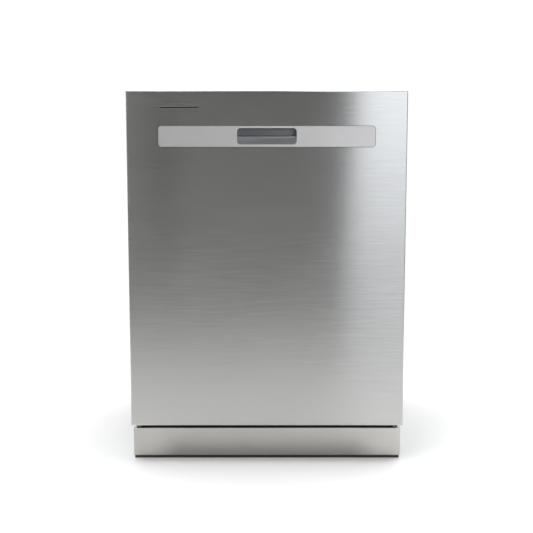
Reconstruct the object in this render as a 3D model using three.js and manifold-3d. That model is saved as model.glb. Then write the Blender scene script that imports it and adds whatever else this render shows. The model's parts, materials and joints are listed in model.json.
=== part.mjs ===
// Built-in dishwasher, 24 inch class, top controls and a pocket handle. Millimetres.
// X runs across the front, Y from the door to the back, Z up. The origin is on the floor,
// under the middle of the machine.
import * as THREE from "three";
import { mergeVertices } from "three/addons/utils/BufferGeometryUtils.js";
import Module from "manifold-3d";

const wasm = await Module();
wasm.setup();

// Driving dimensions
const width = 606;
const depth = 622;
const height = 826;
const half = width / 2;
const front = -depth / 2;
const back = depth / 2;
const gap = 0.3; // between pieces that rest against each other

// Door
const skinFace = front + 0.8; // the handle strip stands this much proud of the skin
const skinSheet = 1.2;
const doorBottom = 88;
const linerFlange = -264;
const bulgeFace = -226; // inner face of the door, inside the wash chamber
const stripLow = 706;
const stripHigh = 750.5;
const stripHalf = 233.5;
const pocketHalf = 64.2;
const buttonPlaces = [-215, -165, -115, 215];
const buttonY = -283;
const ventPlace = [190, 690];

// Hinge line of the door, and the arms beside the tub
const hingeY = -265;
const hingeZ = 80;
const armIn = 288;
const armOut = 291;
const springX = 288.8;
const springZ = hingeZ + 22;

// Tub
const tubHalf = 280;
const tubFront = -256;
const tubBack = 292;
const tubLow = 114;
const tubHigh = 812;
const tubWall = 1.5;
const tubCorner = 28;
const ledgeTop = 120; // the lower rack's wheels run on this

// Wash parts, all on one upright axis
const axisY = 30;
const sumpRadius = 89.5;
const filterPlace = [37, 67];
const floatPlace = [200, -165];
const feedZ = 512; // height of the pipe to the upper spray arm

// Racks
const wire = 4;
const railLow = 556;
const railHigh = 590;
const upperFloor = 530;
const upperRim = 640;
const upperHalf = 232;
const lowerFloor = 162;
const lowerRim = 290;
const lowerHalf = 242;
const rackFront = -206;
const shelfHinge = -224.5;
const shelfEdge = -124;
const shelfZ = 600;
const wheelZ = 137.3;
const wheelRadius = 17;
const wheelPlaces = [-109, 160];

// Base
const footPlaces = [-212, 285];
const footX = 276;
const kickTop = 71;

const brushedSteel = new THREE.MeshStandardMaterial({ color: 0xb9b8b4, roughness: 0.32, metalness: 1 });
const tubSteel = new THREE.MeshStandardMaterial({ color: 0xc6c8c9, roughness: 0.22, metalness: 1 });
const galvanised = new THREE.MeshStandardMaterial({ color: 0xa3a7aa, roughness: 0.5, metalness: 0.9 });
const satinSilver = new THREE.MeshStandardMaterial({ color: 0xb4b5b6, roughness: 0.38, metalness: 0.8 });
const blackPlastic = new THREE.MeshStandardMaterial({ color: 0x17181a, roughness: 0.5, metalness: 0 });
const greyPlastic = new THREE.MeshStandardMaterial({ color: 0x8d9195, roughness: 0.55, metalness: 0 });
const whitePlastic = new THREE.MeshStandardMaterial({ color: 0xd9dad8, roughness: 0.5, metalness: 0 });
const nylonWire = new THREE.MeshStandardMaterial({ color: 0x9da2a8, roughness: 0.4, metalness: 0 });
const rubber = new THREE.MeshStandardMaterial({ color: 0x2c2d2f, roughness: 0.8, metalness: 0 });
const felt = new THREE.MeshStandardMaterial({ color: 0x3a3b3d, roughness: 0.95, metalness: 0 });
const smokedLens = new THREE.MeshStandardMaterial({ color: 0x0c0d0f, roughness: 0.15, metalness: 0 });

// Shapes

// A closed three.js geometry as a solid that can be joined and cut.
function solid(geometry) {
  const loose = geometry.index ? geometry.toNonIndexed() : geometry.clone();
  loose.deleteAttribute("normal");
  loose.deleteAttribute("uv");
  const merged = mergeVertices(loose, 1e-4);
  const corners = merged.index.array;
  const triangles = [];
  for (let i = 0; i < corners.length; i += 3) {
    const [a, b, c] = corners.slice(i, i + 3);
    if (a !== b && b !== c && c !== a) triangles.push(a, b, c);
  }
  return new wasm.Manifold(
    new wasm.Mesh({
      numProp: 3,
      vertProperties: Float32Array.from(merged.attributes.position.array),
      triVerts: Uint32Array.from(triangles),
    }),
  );
}

function geometryOf(shape) {
  const made = shape.getMesh();
  const geometry = new THREE.BufferGeometry();
  geometry.setAttribute("position", new THREE.BufferAttribute(made.vertProperties, 3));
  geometry.setIndex(new THREE.BufferAttribute(made.triVerts, 1));
  geometry.computeVertexNormals();
  return geometry;
}

function join(...shapes) {
  return shapes.reduce((all, one) => all.add(one));
}

function cut(base, ...tools) {
  return tools.reduce((left, tool) => left.subtract(tool), base);
}

// A box between two corners, given in any order.
function block(one, other) {
  const size = one.map((value, i) => Math.abs(other[i] - value));
  const middle = one.map((value, i) => (value + other[i]) / 2);
  const box = new THREE.BoxGeometry(...size);
  box.translate(...middle);
  return solid(box);
}

// A round bar between two points.
function rod(from, to, radius, sides = 16) {
  const start = new THREE.Vector3(...from);
  const run = new THREE.Vector3(...to).sub(start);
  const bar = new THREE.CylinderGeometry(radius, radius, run.length(), sides);
  bar.translate(0, run.length() / 2, 0);
  const turn = new THREE.Quaternion().setFromUnitVectors(new THREE.Vector3(0, 1, 0), run.normalize());
  bar.applyQuaternion(turn);
  bar.translate(...from);
  return solid(bar);
}

// An outline pushed along one axis. Along x the outline is in (y, z), along y in (x, z).
function prism(axis, shape, from, to, arcSteps = 3) {
  const low = Math.min(from, to);
  const high = Math.max(from, to);
  const pushed = new THREE.ExtrudeGeometry(shape, {
    depth: high - low,
    bevelEnabled: false,
    curveSegments: arcSteps,
  });
  if (axis === "x") {
    const turn = new THREE.Matrix4().makeBasis(
      new THREE.Vector3(0, 1, 0),
      new THREE.Vector3(0, 0, 1),
      new THREE.Vector3(1, 0, 0),
    );
    pushed.applyMatrix4(turn);
    pushed.translate(low, 0, 0);
  } else if (axis === "y") {
    pushed.rotateX(Math.PI / 2);
    pushed.translate(0, high, 0);
  } else {
    pushed.translate(0, 0, low);
  }
  return solid(pushed);
}

function outline(points) {
  return new THREE.Shape(points.map(([x, y]) => new THREE.Vector2(x, y)));
}

// A rectangle with round corners. With roundLow false only its two upper corners are round.
function roundedRect(left, low, right, high, radius, roundLow = true) {
  const shape = new THREE.Shape();
  const lowRadius = roundLow ? radius : 0;
  shape.moveTo(left + lowRadius, low);
  shape.lineTo(right - lowRadius, low);
  if (roundLow) shape.absarc(right - radius, low + radius, radius, -Math.PI / 2, 0);
  shape.lineTo(right, high - radius);
  shape.absarc(right - radius, high - radius, radius, 0, Math.PI / 2);
  shape.lineTo(left + radius, high);
  shape.absarc(left + radius, high - radius, radius, Math.PI / 2, Math.PI);
  if (roundLow) {
    shape.lineTo(left, low + radius);
    shape.absarc(left + radius, low + radius, radius, Math.PI, Math.PI * 1.5);
  } else {
    shape.lineTo(left, low);
  }
  return shape;
}

// An upside-down U that stands on its two ends, as a door frame does.
function arch(outer, inner, from, to) {
  const outside = roundedRect(-outer.half, outer.low, outer.half, outer.high, outer.radius, false);
  const body = prism("y", outside, from, to);
  const opening = roundedRect(-inner.half, outer.low - 1, inner.half, inner.high, inner.radius, false);
  return cut(body, prism("y", opening, from - 1, to + 1));
}

// A profile of (radius, height) points spun about the upright axis.
function turned(points, sides = 24) {
  const lathe = new THREE.LatheGeometry(points.map(([r, h]) => new THREE.Vector2(r, h)), sides);
  lathe.rotateX(Math.PI / 2);
  return solid(lathe);
}

// A shape and its mirror image across the middle of the machine.
function pair(make) {
  return join(make(-1), make(1));
}

// Cabinet

function tub() {
  const shell = prism("y", roundedRect(-tubHalf, tubLow, tubHalf, tubHigh, tubCorner), tubFront, tubBack);
  const flange = prism(
    "y",
    roundedRect(-tubHalf - 6, tubLow - 4, tubHalf + 6, tubHigh + 4, tubCorner + 2),
    tubFront,
    tubFront + tubWall,
  );
  const chamber = roundedRect(
    -tubHalf + tubWall,
    tubLow + tubWall,
    tubHalf - tubWall,
    tubHigh - tubWall,
    tubCorner - tubWall,
  );
  const hollow = cut(join(shell, flange), prism("y", chamber, tubFront - 4, tubBack - tubWall));
  const ledges = pair((side) => block([side * 246, -252, tubLow + 1], [side * 268, 280, ledgeTop]));
  const threshold = block([-246, tubFront, tubLow + 1], [246, -250, ledgeTop - 1]);
  const sumpHole = rod([0, axisY, tubLow - 4], [0, axisY, tubLow + 6], sumpRadius + 1.5, 32);
  const floatHole = rod([...floatPlace, tubLow - 4], [...floatPlace, tubLow + 6], 5, 12);
  return cut(join(hollow, ledges, threshold), sumpHole, floatHole);
}

// Rubber seal that the door presses on, round the two sides and the top of the opening.
function tubGasket() {
  const outer = { half: 285, low: 120, high: 811.5, radius: 28 };
  const inner = { half: 273, high: 803.5, radius: 16 };
  return arch(outer, inner, tubFront - 5.7, tubFront - gap);
}

function frontFrame() {
  const outer = { half: 297, low: 110.5, high: 820, radius: 8 };
  const inner = { half: 289, high: 813, radius: tubCorner };
  return arch(outer, inner, -250, -228);
}

// Sound blanket over the two sides and the top of the tub.
function soundBlanket() {
  const outer = { half: 296, low: 130, high: 822.5, radius: 20 };
  const inner = { half: tubHalf + 0.5, high: tubHigh + 0.5, radius: tubCorner + 0.5 };
  return arch(outer, inner, -226, 286);
}

// Sheet steel tray that carries the tub, the hinge pins, the springs and the feet.
function baseFrame() {
  const outside = 297;
  const inside = 295;
  const tray = cut(
    block([-outside, -246, 20], [outside, back, 96]),
    block([-inside, -244, 22], [inside, back - 2, 100]),
    block([-inside, -250, 76], [inside, -240, 100]),
  );
  const sideWindows = [-150, -70, 10, 90, 190].map((y) => block([-half, y, 40], [half, y + 60, 76]));
  const rearWindow = (x, side) => block([side * x, back - 8, 40], [side * (x + 70), back + 4, 76]);
  const rearWindows = pair((side) => join(rearWindow(70, side), rearWindow(165, side)));
  const ears = pair((side) =>
    join(
      block([side * inside, -262, 72], [side * outside, -180, 110]),
      rod([side * inside, hingeY, hingeZ], [side * outside, hingeY, hingeZ], 6.5),
      rod([side * 286, hingeY, hingeZ], [side * 296, hingeY, hingeZ], 3.6),
      block([side * 284, 92, 90], [side * 296, 98, 110]),
    ),
  );
  const frontRail = join(
    block([-296, -236, 60], [296, -222, 88]),
    block([-281, -236, 87], [281, -222, tubLow - 0.5]),
  );
  const rearRail = block([-296, 262, 60], [296, 278, tubLow - 0.5]);
  const upright = (y, from, to, radius) =>
    pair((side) => rod([side * footX, y, from], [side * footX, y, to], radius, 12));
  const bosses = footPlaces.map((y) => upright(y, 21, 34, 9));
  const holes = footPlaces.map((y) => upright(y, 10, 40, 4.6));
  return cut(join(cut(tray, ...sideWindows, rearWindows), ears, frontRail, rearRail, ...bosses), ...holes);
}

// Leveling foot: a disc on a threaded stem.
function foot() {
  return turned([[0, 0], [16, 0], [16, 3], [9, 5], [4, 5], [4, 40], [0, 40]], 16);
}

// Bent steel panel below the door, open at the back.
function toeKick() {
  const rear = -256;
  const face = -269;
  const low = 6.5;
  const inside = half - skinSheet;
  return cut(
    block([-half, face, low], [half, rear, kickTop]),
    block([-inside, face + skinSheet, low + skinSheet], [inside, rear + 5, kickTop - skinSheet]),
  );
}

function toeSeal() {
  return block([-301, -268, 1], [301, -262, 6.2]);
}

// Black board behind the gap between the door and the toe kick.
function kickBacking() {
  const shape = outline([
    [-293.5, 10],
    [293.5, 10],
    [293.5, 76],
    [286, 76],
    [286, 92],
    [-286, 92],
    [-286, 76],
    [-293.5, 76],
  ]);
  return prism("y", shape, -254, -250);
}

// Steel tab that screws to the underside of a worktop, made about its own middle.
function counterBracket() {
  const plate = block([-15, -258, height - 2.5], [15, -222, height]);
  const leg = block([-15, -240, 820.3], [15, -229, height - 2]);
  return cut(join(plate, leg), rod([0, -250, height - 5], [0, -250, height + 2], 2.8, 12));
}

// Strike that the door latch hooks behind, fixed under the roof of the tub.
function latchStrike() {
  const pad = block([-20, -250, 807], [20, -215, tubHigh - tubWall - gap]);
  const drop = block([-12, -248, 798.5], [12, -245, 808]);
  const tongue = block([-12, -276, 798.5], [12, -245, 802]);
  return cut(join(pad, drop, tongue), block([-7, -271, 797], [7, -254, 804]));
}

// Plastic bowl under the tub floor, with the well of the filter and the post of the lower spray arm.
function sump() {
  const seat = tubLow - gap;
  const cover = 116.5;
  const bowl = turned([
    [0, 56],
    [70, 56],
    [84, 72],
    [84, 110.5],
    [98, 110.5],
    [98, seat],
    [sumpRadius, seat],
    [sumpRadius, cover],
    [0, cover],
  ], 32);
  const inside = turned([[0, 59], [69, 59], [81, 73], [81, 113.5], [0, 113.5]], 32);
  const post = turned([[0, 114], [13, 114], [13, 136.5], [0, 136.5]], 16);
  const [filterX, filterY] = filterPlace;
  const well = rod([filterX, filterY - axisY, 112], [filterX, filterY - axisY, 120], 28, 20);
  return join(cut(bowl, inside, well), post);
}

function washMotor() {
  const can = rod([-228, 40, 62], [-92, 40, 62], 32, 20);
  const feet = [-215, -125].map((x) => block([x, 22, 22 + gap], [x + 20, 58, 40]));
  return join(can, ...feet);
}

function drainPump() {
  const can = rod([118, -120, 56], [118, -60, 56], 26, 20);
  const spigot = rod([118, -62, 56], [118, -40, 56], 12, 12);
  return join(can, spigot, block([100, -112, 22 + gap], [136, -70, 40]));
}

function inletValve() {
  const spigots = [-229, -207].map((x) => rod([x, -195, 60], [x, -195, 84], 9, 12));
  return join(block([-240, -214, 22 + gap], [-196, -176, 66]), ...spigots);
}

function junctionBox() {
  const shape = roundedRect(172, -214, 256, -158, 5);
  return prism("z", shape, 22 + gap, 68, 2);
}

// Open ring of heating tube over the tub floor, its two ends turned down.
function heater() {
  const ring = 160;
  const tube = 4;
  const z = 126;
  const halfOpening = 0.14; // radians on each side of the gap, which faces the back
  const startAngle = Math.PI / 2 + halfOpening;
  const sweep = 2 * Math.PI - 2 * halfOpening;
  const pointAt = (t) => {
    const angle = startAngle + sweep * t;
    return new THREE.Vector3(ring * Math.cos(angle), axisY + ring * Math.sin(angle), z);
  };
  class RingCurve extends THREE.Curve {
    getPoint(t, target = new THREE.Vector3()) {
      return target.copy(pointAt(t));
    }
  }
  const section = new THREE.Shape();
  section.absarc(0, 0, tube, 0, 2 * Math.PI);
  const extrusion = { steps: 36, extrudePath: new RingCurve(), curveSegments: 4 };
  const loop = new THREE.ExtrudeGeometry(section, extrusion);
  const ends = [0.005, 0.995].map((t) => {
    const { x, y } = pointAt(t);
    return rod([x, y, 117], [x, y, z], tube, 8);
  });
  return join(solid(loop), ...ends);
}

// Upright duct on the back wall that brings water to the upper spray arm.
function waterManifold() {
  const duct = block([-17, 272, 117], [17, tubBack - tubWall - 1.5, 545]);
  return join(duct, rod([0, 256, feedZ], [0, 273, feedZ], 12));
}

// C profile, open towards the middle of the tub, in which the middle rail slides.
function channel(side, web, sheet, lip, low, high, from, to) {
  const outer = block([side * lip, from, low], [side * web, to, high]);
  const inside = block(
    [side * (lip - 5), from - 1, low + sheet],
    [side * (web - sheet), to + 1, high - sheet],
  );
  return cut(outer, inside);
}

// Door

function doorSkin() {
  const tray = cut(
    block([-half, skinFace, doorBottom], [half, -266, height]),
    block(
      [-half + skinSheet, skinFace + skinSheet, doorBottom + skinSheet],
      [half - skinSheet, -260, height - skinSheet],
    ),
    block([-half + skinSheet, -303, height - 6], [half - skinSheet, -260, height + 4]),
  );
  const stripHole = roundedRect(-stripHalf - gap, stripLow - gap, stripHalf + gap, stripHigh + gap, 6 + gap);
  const lensSlot = block([-230.3, -312, 788.3], [-146.7, -305, 791.3]);
  const armNotches = pair((side) => block([side * 285, -297, 85], [side * 300, -260, 91]));
  return cut(tray, prism("y", stripHole, -314, -305), lensSlot, armNotches);
}

// Flush strip with a finger pocket behind its middle.
function pullHandle() {
  const strip = prism("y", roundedRect(-stripHalf, stripLow, stripHalf, stripHigh, 6), front, -306);
  const flange = prism("y", roundedRect(-240, 700, 240, 757, 6), skinFace + skinSheet + gap, -306);
  const cup = block([-pocketHalf - 5.8, -307, 701], [pocketHalf + 5.8, -271, 756]);
  const pocket = outline([
    [-316, 711],
    [-309, 711],
    [-298, 724],
    [-294, 728],
    [-290, 727],
    [-287, 712],
    [-275, 712],
    [-275, 746],
    [-316, 746],
  ]);
  return cut(join(strip, flange, cup), prism("x", pocket, -pocketHalf, pocketHalf));
}

function statusLens() {
  return block([-230, skinFace - 0.4, 788.6], [-147, -306, 791]);
}

// Inner door panel, with the bulge that closes the wash chamber.
function doorLiner() {
  const sheet = 1.5;
  const flangeShape = outline([
    [-286, 92],
    [286, 92],
    [286, 113],
    [301, 113],
    [301, 795],
    [-301, 795],
    [-301, 113],
    [-286, 113],
  ]);
  const flange = prism("y", flangeShape, linerFlange, linerFlange + sheet);
  const bulge = prism("y", roundedRect(-262, 142, 262, 786, 24), linerFlange, bulgeFace);
  const hollow = roundedRect(-262 + sheet, 142 + sheet, 262 - sheet, 786 - sheet, 24 - sheet);
  const dispenserHole = block([-112.3, -240, 435.7], [112.3, -220, 536.3]);
  return cut(join(flange, bulge), prism("y", hollow, linerFlange - 3, bulgeFace - sheet), dispenserHole);
}

// Black control console along the top of the door.
function consoleBox() {
  const shell = block([-299, -302.5, 797], [299, -262, height - 1.5]);
  const inside = block([-296, -300, 790], [296, -264.5, 822]);
  const latchSlot = block([-18, -266, 790], [18, -260, 816]);
  const holes = buttonPlaces.map((x) =>
    block([x - 15.4, buttonY - 7.4, 815], [x + 15.4, buttonY + 7.4, 830]),
  );
  return cut(shell, inside, latchSlot, ...holes);
}

function button() {
  return join(block([-15, -7, 819], [15, 7, 825.6]), block([-17, -9, 819], [17, 9, 821.5]));
}

// Detergent and rinse aid box in the door liner. The cup opens into the wash chamber.
function dispenser() {
  return cut(block([-112, -254, 436], [112, bulgeFace + 0.8, 536]), block([-64, -250, 446], [12, -220, 526]));
}

function dispenserLid() {
  const lid = block([-68, bulgeFace + 1.1, 442], [16, bulgeFace + 3.6, 530]);
  const grip = block([-40, bulgeFace + 3, 446], [-12, bulgeFace + 6, 450]);
  return join(lid, grip);
}

function rinseCap() {
  const cap = rod([0, 0, 0], [0, 3.4, 0], 14, 20);
  return join(cap, block([-11, 3, -2.5], [11, 5.9, 2.5]));
}

function doorVent() {
  const [x, z] = ventPlace;
  const low = bulgeFace + gap;
  const plate = rod([x, low, z], [x, low + 2.5, z], 30, 24);
  const cap = rod([x, low + 2, z], [x, low + 3.7, z], 22, 24);
  return join(plate, cap);
}

// Steel arm screwed inside the door. Its quarter disc carries the cable of the balance spring.
function hingeArm(side) {
  const disc = new THREE.Shape();
  disc.moveTo(hingeY, hingeZ);
  disc.lineTo(hingeY + 22, hingeZ);
  disc.absarc(hingeY, hingeZ, 22, 0, Math.PI / 2);
  const neck = outline([
    [-273, hingeZ],
    [-265, hingeZ],
    [-265, 102],
    [-266.5, 110],
    [-298, 110],
    [-298, 93],
    [-273, 86],
  ]);
  const from = side * armIn;
  const to = side * armOut;
  const plate = join(
    prism("x", disc, from, to, 4),
    prism("x", neck, from, to),
    rod([from, hingeY, hingeZ], [to, hingeY, hingeZ], 8),
    block([from, -298, 109], [to, -266.5, 250]),
  );
  return cut(plate, rod([side * 285, hingeY, hingeZ], [side * 294, hingeY, hingeZ], 4));
}

// Cable from the balance spring towards the hinge arm, with the hook that holds the spring.
function springHook() {
  return join(rod([0, -226, 0], [0, -118, 0], 1.5, 8), rod([0, -119, 0], [0, -112.6, 0], 4, 8));
}

function balanceSpring() {
  return rod([0, -112, 0], [0, 91.5, 0], 5.2, 10);
}

function latchHook() {
  return join(block([-5, -285, 803.8], [5, -264.8, 807.5]), block([-5, -268, 797.5], [5, -264.8, 804]));
}

// Racks

function evenly(count, from, to) {
  return Array.from({ length: count }, (_, i) => from + ((to - from) * i) / (count - 1));
}

// A square bar between two points that differ along one axis only.
function bar(from, to, thick = wire) {
  const reach = thick / 2;
  return block(
    from.map((value, i) => Math.min(value, to[i]) - reach),
    from.map((value, i) => Math.max(value, to[i]) + reach),
  );
}

// Basket of bent wires: U shapes both ways and a rim. Wires that cross lie partly in each other,
// as welded wires do.
function wireBasket({ reach, from, to, floor, rim, across, along }) {
  const weld = 1; // height between the middles of two wires that cross
  const bars = [];
  for (const y of evenly(across, from, to)) {
    bars.push(bar([-reach, y, floor], [reach, y, floor]));
    for (const x of [-reach, reach]) bars.push(bar([x, y, floor], [x, y, rim]));
  }
  for (const x of evenly(along, -reach, reach).slice(1, -1)) {
    bars.push(bar([x, from, floor + weld], [x, to, floor + weld]));
    for (const y of [from, to]) bars.push(bar([x, y, floor + weld], [x, y, rim - weld]));
  }
  for (const x of [-reach, reach]) {
    bars.push(bar([x, from + weld, floor + weld], [x, to - weld, floor + weld]));
    bars.push(bar([x, from + weld, rim - weld], [x, to - weld, rim - weld]));
  }
  for (const y of [from, to]) bars.push(bar([-reach, y, rim], [reach, y, rim]));
  return join(...bars);
}

function upperRack() {
  const basket = wireBasket({
    reach: upperHalf - wire / 2,
    from: rackFront + wire / 2,
    to: 240 - wire / 2,
    floor: upperFloor,
    rim: upperRim,
    across: 5,
    along: 6,
  });
  const slides = pair((side) => {
    const runner = block([side * 257, rackFront, 562], [side * 269.3, 234, 584]);
    const arms = [-94.5, 127.5].map((y) => block([side * 229, y - 7, 570], [side * 258, y + 7, 576]));
    return join(runner, ...arms);
  });
  return join(basket, slides);
}

function lowerRack() {
  const basket = wireBasket({
    reach: lowerHalf - wire / 2,
    from: rackFront + wire / 2,
    to: 250 - wire / 2,
    floor: lowerFloor,
    rim: lowerRim,
    across: 5,
    along: 6,
  });
  const carriers = wheelPlaces.map((y) =>
    pair((side) =>
      join(
        block([side * (lowerHalf - 3), y - 14, 131], [side * 250, y + 14, 176]),
        rod([side * 249, y, wheelZ], [side * 264, y, wheelZ], 3, 12),
      ),
    ),
  );
  return join(basket, ...carriers);
}

// Grooved nylon wheel, made about its own middle with its axle along x.
function rackWheel() {
  const disc = rod([-5, 0, 0], [5, 0, 0], wheelRadius, 24);
  return cut(disc, rod([-7, 0, 0], [7, 0, 0], 3.5, 12));
}

// Hollow arm with a hub in its middle, made about the upright axis.
function sprayArm({ low, high, reach, broad, hub, hubLow, hubHigh }) {
  const blade = prism("z", roundedRect(-reach, -broad, reach, broad, broad - 1), low, high);
  return join(blade, rod([0, 0, hubLow], [0, 0, hubHigh], hub, 20));
}

// Pipe under the upper rack, from the duct on the back wall to the upper spray arm.
function upperFeedTube() {
  return join(
    rod([0, 253.5, feedZ], [0, axisY, feedZ], 9, 12),
    rod([0, axisY, 498.5], [0, axisY, 521], 12, 16),
    block([-8, 118, 515], [8, 132, upperFloor - wire / 2 - gap]),
  );
}

// Small shelf for cups, hinged on the left side of the upper rack.
function cupShelf() {
  const bars = [shelfHinge, shelfEdge].map((x) => bar([x, -148, shelfZ], [x, 148, shelfZ]));
  for (const y of evenly(6, -148, 148)) bars.push(bar([shelfHinge, y, shelfZ], [shelfEdge, y, shelfZ]));
  return join(...bars);
}

function cutleryBasket() {
  const shell = block([172, -190, 166], [236, 50, 280]);
  const spaces = [];
  for (const [left, right] of [[175, 202], [206, 233]]) {
    spaces.push(block([left, -187.5, 169], [right, -71, 290]));
    spaces.push(block([left, -69, 169], [right, 47.5, 290]));
  }
  const grip = cut(block([202, -118, 279], [206, -22, 345]), block([200, -108, 270], [208, -32, 337]));
  return join(cut(shell, ...spaces), grip);
}

// Row of plate tines that folds down to the back.
function tineRow() {
  const tines = evenly(9, -212, 140).map((x) => bar([x, 60, 168], [x, 60, 254], 3));
  return join(rod([-222, 60, 168], [150, 60, 168], 2.5, 8), ...tines);
}

function filterCup() {
  const cup = turned([
    [0, 74],
    [27, 74],
    [27, 117],
    [32, 117],
    [32, 119.5],
    [0, 119.5],
  ]);
  const bore = turned([[0, 77], [24, 77], [24, 124], [0, 124]]);
  const handle = block([-25.5, -3, 116], [25.5, 3, 126]);
  return join(cut(cup, bore), handle);
}

function floatDome() {
  return turned([[0, 98], [3.5, 98], [3.5, 117], [18, 117], [18, 130], [12, 136], [0, 136]], 20);
}

// Assembly

const dishwasher = new THREE.Group();
const cabinet = new THREE.Group();
const door = new THREE.Group();
const washAxis = new THREE.Group();
const upperCarriage = new THREE.Group();
const lowerCarriage = new THREE.Group();
dishwasher.add(cabinet, door, washAxis, upperCarriage, lowerCarriage);
washAxis.position.set(0, axisY, 0);

function place(group, name, shape, material, position = [0, 0, 0], turn = 0) {
  const mesh = new THREE.Mesh(geometryOf(shape), material.clone());
  mesh.name = name;
  mesh.position.set(...position);
  mesh.rotation.z = turn;
  group.add(mesh);
}

const sides = [["left", -1], ["right", 1]];

place(cabinet, "tub", tub(), tubSteel);
place(cabinet, "tub_gasket", tubGasket(), rubber);
place(cabinet, "base_frame", baseFrame(), galvanised);
place(cabinet, "front_frame", frontFrame(), galvanised);
place(cabinet, "sound_blanket", soundBlanket(), felt);
place(cabinet, "toe_kick", toeKick(), brushedSteel);
place(cabinet, "toe_seal", toeSeal(), rubber);
place(cabinet, "kick_backing", kickBacking(), blackPlastic);
place(cabinet, "latch_strike", latchStrike(), galvanised);
place(cabinet, "wash_motor", washMotor(), blackPlastic);
place(cabinet, "drain_pump", drainPump(), greyPlastic);
place(cabinet, "inlet_valve", inletValve(), whitePlastic);
place(cabinet, "junction_box", junctionBox(), galvanised);
place(cabinet, "heater", heater(), galvanised);
place(cabinet, "water_manifold", waterManifold(), greyPlastic);
for (const [name, side] of sides) {
  for (const [end, y] of [["front", footPlaces[0]], ["rear", footPlaces[1]]]) {
    place(cabinet, `foot_${end}_${name}`, foot(), blackPlastic, [side * footX, y, 0]);
  }
  place(cabinet, `counter_bracket_${name}`, counterBracket(), galvanised, [side * 200, 0, 0]);
  const guide = channel(side, 278.2, 2.2, 262, railLow, railHigh, -220, 225);
  place(cabinet, `rack_guide_${name}`, guide, tubSteel);
  place(cabinet, `balance_spring_${name}`, balanceSpring(), galvanised, [side * springX, 0, springZ]);
  place(cabinet, `spring_hook_${name}`, springHook(), galvanised, [side * springX, 0, springZ]);
}

place(door, "door_skin", doorSkin(), brushedSteel);
place(door, "pull_handle", pullHandle(), satinSilver);
place(door, "status_lens", statusLens(), smokedLens);
place(door, "door_liner", doorLiner(), tubSteel);
place(door, "console", consoleBox(), blackPlastic);
place(door, "dispenser", dispenser(), greyPlastic);
place(door, "dispenser_lid", dispenserLid(), whitePlastic);
place(door, "rinse_cap", rinseCap(), greyPlastic, [-90, bulgeFace + 1.1, 500]);
place(door, "door_vent", doorVent(), greyPlastic);
place(door, "latch_hook", latchHook(), galvanised);
for (const [name, side] of sides) place(door, `hinge_arm_${name}`, hingeArm(side), galvanised);
buttonPlaces.forEach((x, i) => place(door, `button_${i + 1}`, button(), blackPlastic, [x, buttonY, 0]));

const lowerArm = { low: 142, high: 151, reach: 230, broad: 20, hub: 20, hubLow: 138, hubHigh: 155 };
const upperArm = { low: 485, high: 494, reach: 213, broad: 18, hub: 16, hubLow: 483, hubHigh: 497.8 };
place(washAxis, "sump", sump(), blackPlastic);
place(washAxis, "lower_spray_arm", sprayArm(lowerArm), greyPlastic, [0, 0, 0], 0.5);
place(washAxis, "upper_spray_arm", sprayArm(upperArm), greyPlastic, [0, 0, 0], -0.35);
place(cabinet, "filter_cup", filterCup(), greyPlastic, [...filterPlace, 0]);
place(cabinet, "float_dome", floatDome(), whitePlastic, [...floatPlace, 0]);

place(upperCarriage, "upper_rack", upperRack(), nylonWire);
place(upperCarriage, "upper_feed_tube", upperFeedTube(), greyPlastic);
place(upperCarriage, "cup_shelf", cupShelf(), nylonWire);
for (const [name, side] of sides) {
  const rail = channel(side, 271.8, 2, 258, railLow + 3, railHigh - 3, -218, 222);
  place(upperCarriage, `middle_rail_${name}`, rail, tubSteel);
}

place(lowerCarriage, "lower_rack", lowerRack(), nylonWire);
place(lowerCarriage, "cutlery_basket", cutleryBasket(), greyPlastic);
place(lowerCarriage, "tine_row", tineRow(), nylonWire);
for (const [name, side] of sides) {
  for (const [end, y] of [["front", wheelPlaces[0]], ["rear", wheelPlaces[1]]]) {
    place(lowerCarriage, `wheel_${end}_${name}`, rackWheel(), greyPlastic, [side * 257, y, wheelZ]);
  }
}

export default dishwasher;
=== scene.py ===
import json
import math
import bpy
import bmesh
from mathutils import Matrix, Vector


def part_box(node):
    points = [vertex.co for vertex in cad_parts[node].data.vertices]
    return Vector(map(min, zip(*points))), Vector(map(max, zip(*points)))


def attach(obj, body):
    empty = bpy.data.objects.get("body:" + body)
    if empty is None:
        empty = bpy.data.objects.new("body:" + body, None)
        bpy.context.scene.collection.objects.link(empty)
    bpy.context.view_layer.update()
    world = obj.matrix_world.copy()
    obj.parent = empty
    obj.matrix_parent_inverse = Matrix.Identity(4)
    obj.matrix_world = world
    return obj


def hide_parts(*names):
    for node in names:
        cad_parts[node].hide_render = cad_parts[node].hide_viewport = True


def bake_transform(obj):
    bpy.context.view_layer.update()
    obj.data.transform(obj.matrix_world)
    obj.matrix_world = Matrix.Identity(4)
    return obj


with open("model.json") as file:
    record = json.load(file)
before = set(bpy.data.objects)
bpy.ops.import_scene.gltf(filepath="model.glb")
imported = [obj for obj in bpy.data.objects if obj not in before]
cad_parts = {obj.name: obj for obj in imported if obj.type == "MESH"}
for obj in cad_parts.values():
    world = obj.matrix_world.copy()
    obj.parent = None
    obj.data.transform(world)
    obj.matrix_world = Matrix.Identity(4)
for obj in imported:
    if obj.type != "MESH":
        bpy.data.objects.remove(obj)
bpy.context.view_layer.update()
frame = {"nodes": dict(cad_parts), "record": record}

mm = 0.001
print("frame loaded:", len(frame["nodes"]), "nodes")

# the camera stands in front of the door and looks slightly down
camera = {"place": (-0.0008, -2.4797, 0.7245), "tilt": 7.31, "lens": 67.54}


def makeCamera():
    bpy.ops.object.camera_add(location=camera["place"], rotation=(math.radians(90 - camera["tilt"]), 0, 0))
    made = bpy.context.object
    made.data.lens = camera["lens"]
    made.data.sensor_width = 36
    made.data.clip_end = 60
    bpy.context.scene.camera = made


makeCamera()


# small tools for selecting and shaping

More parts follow.
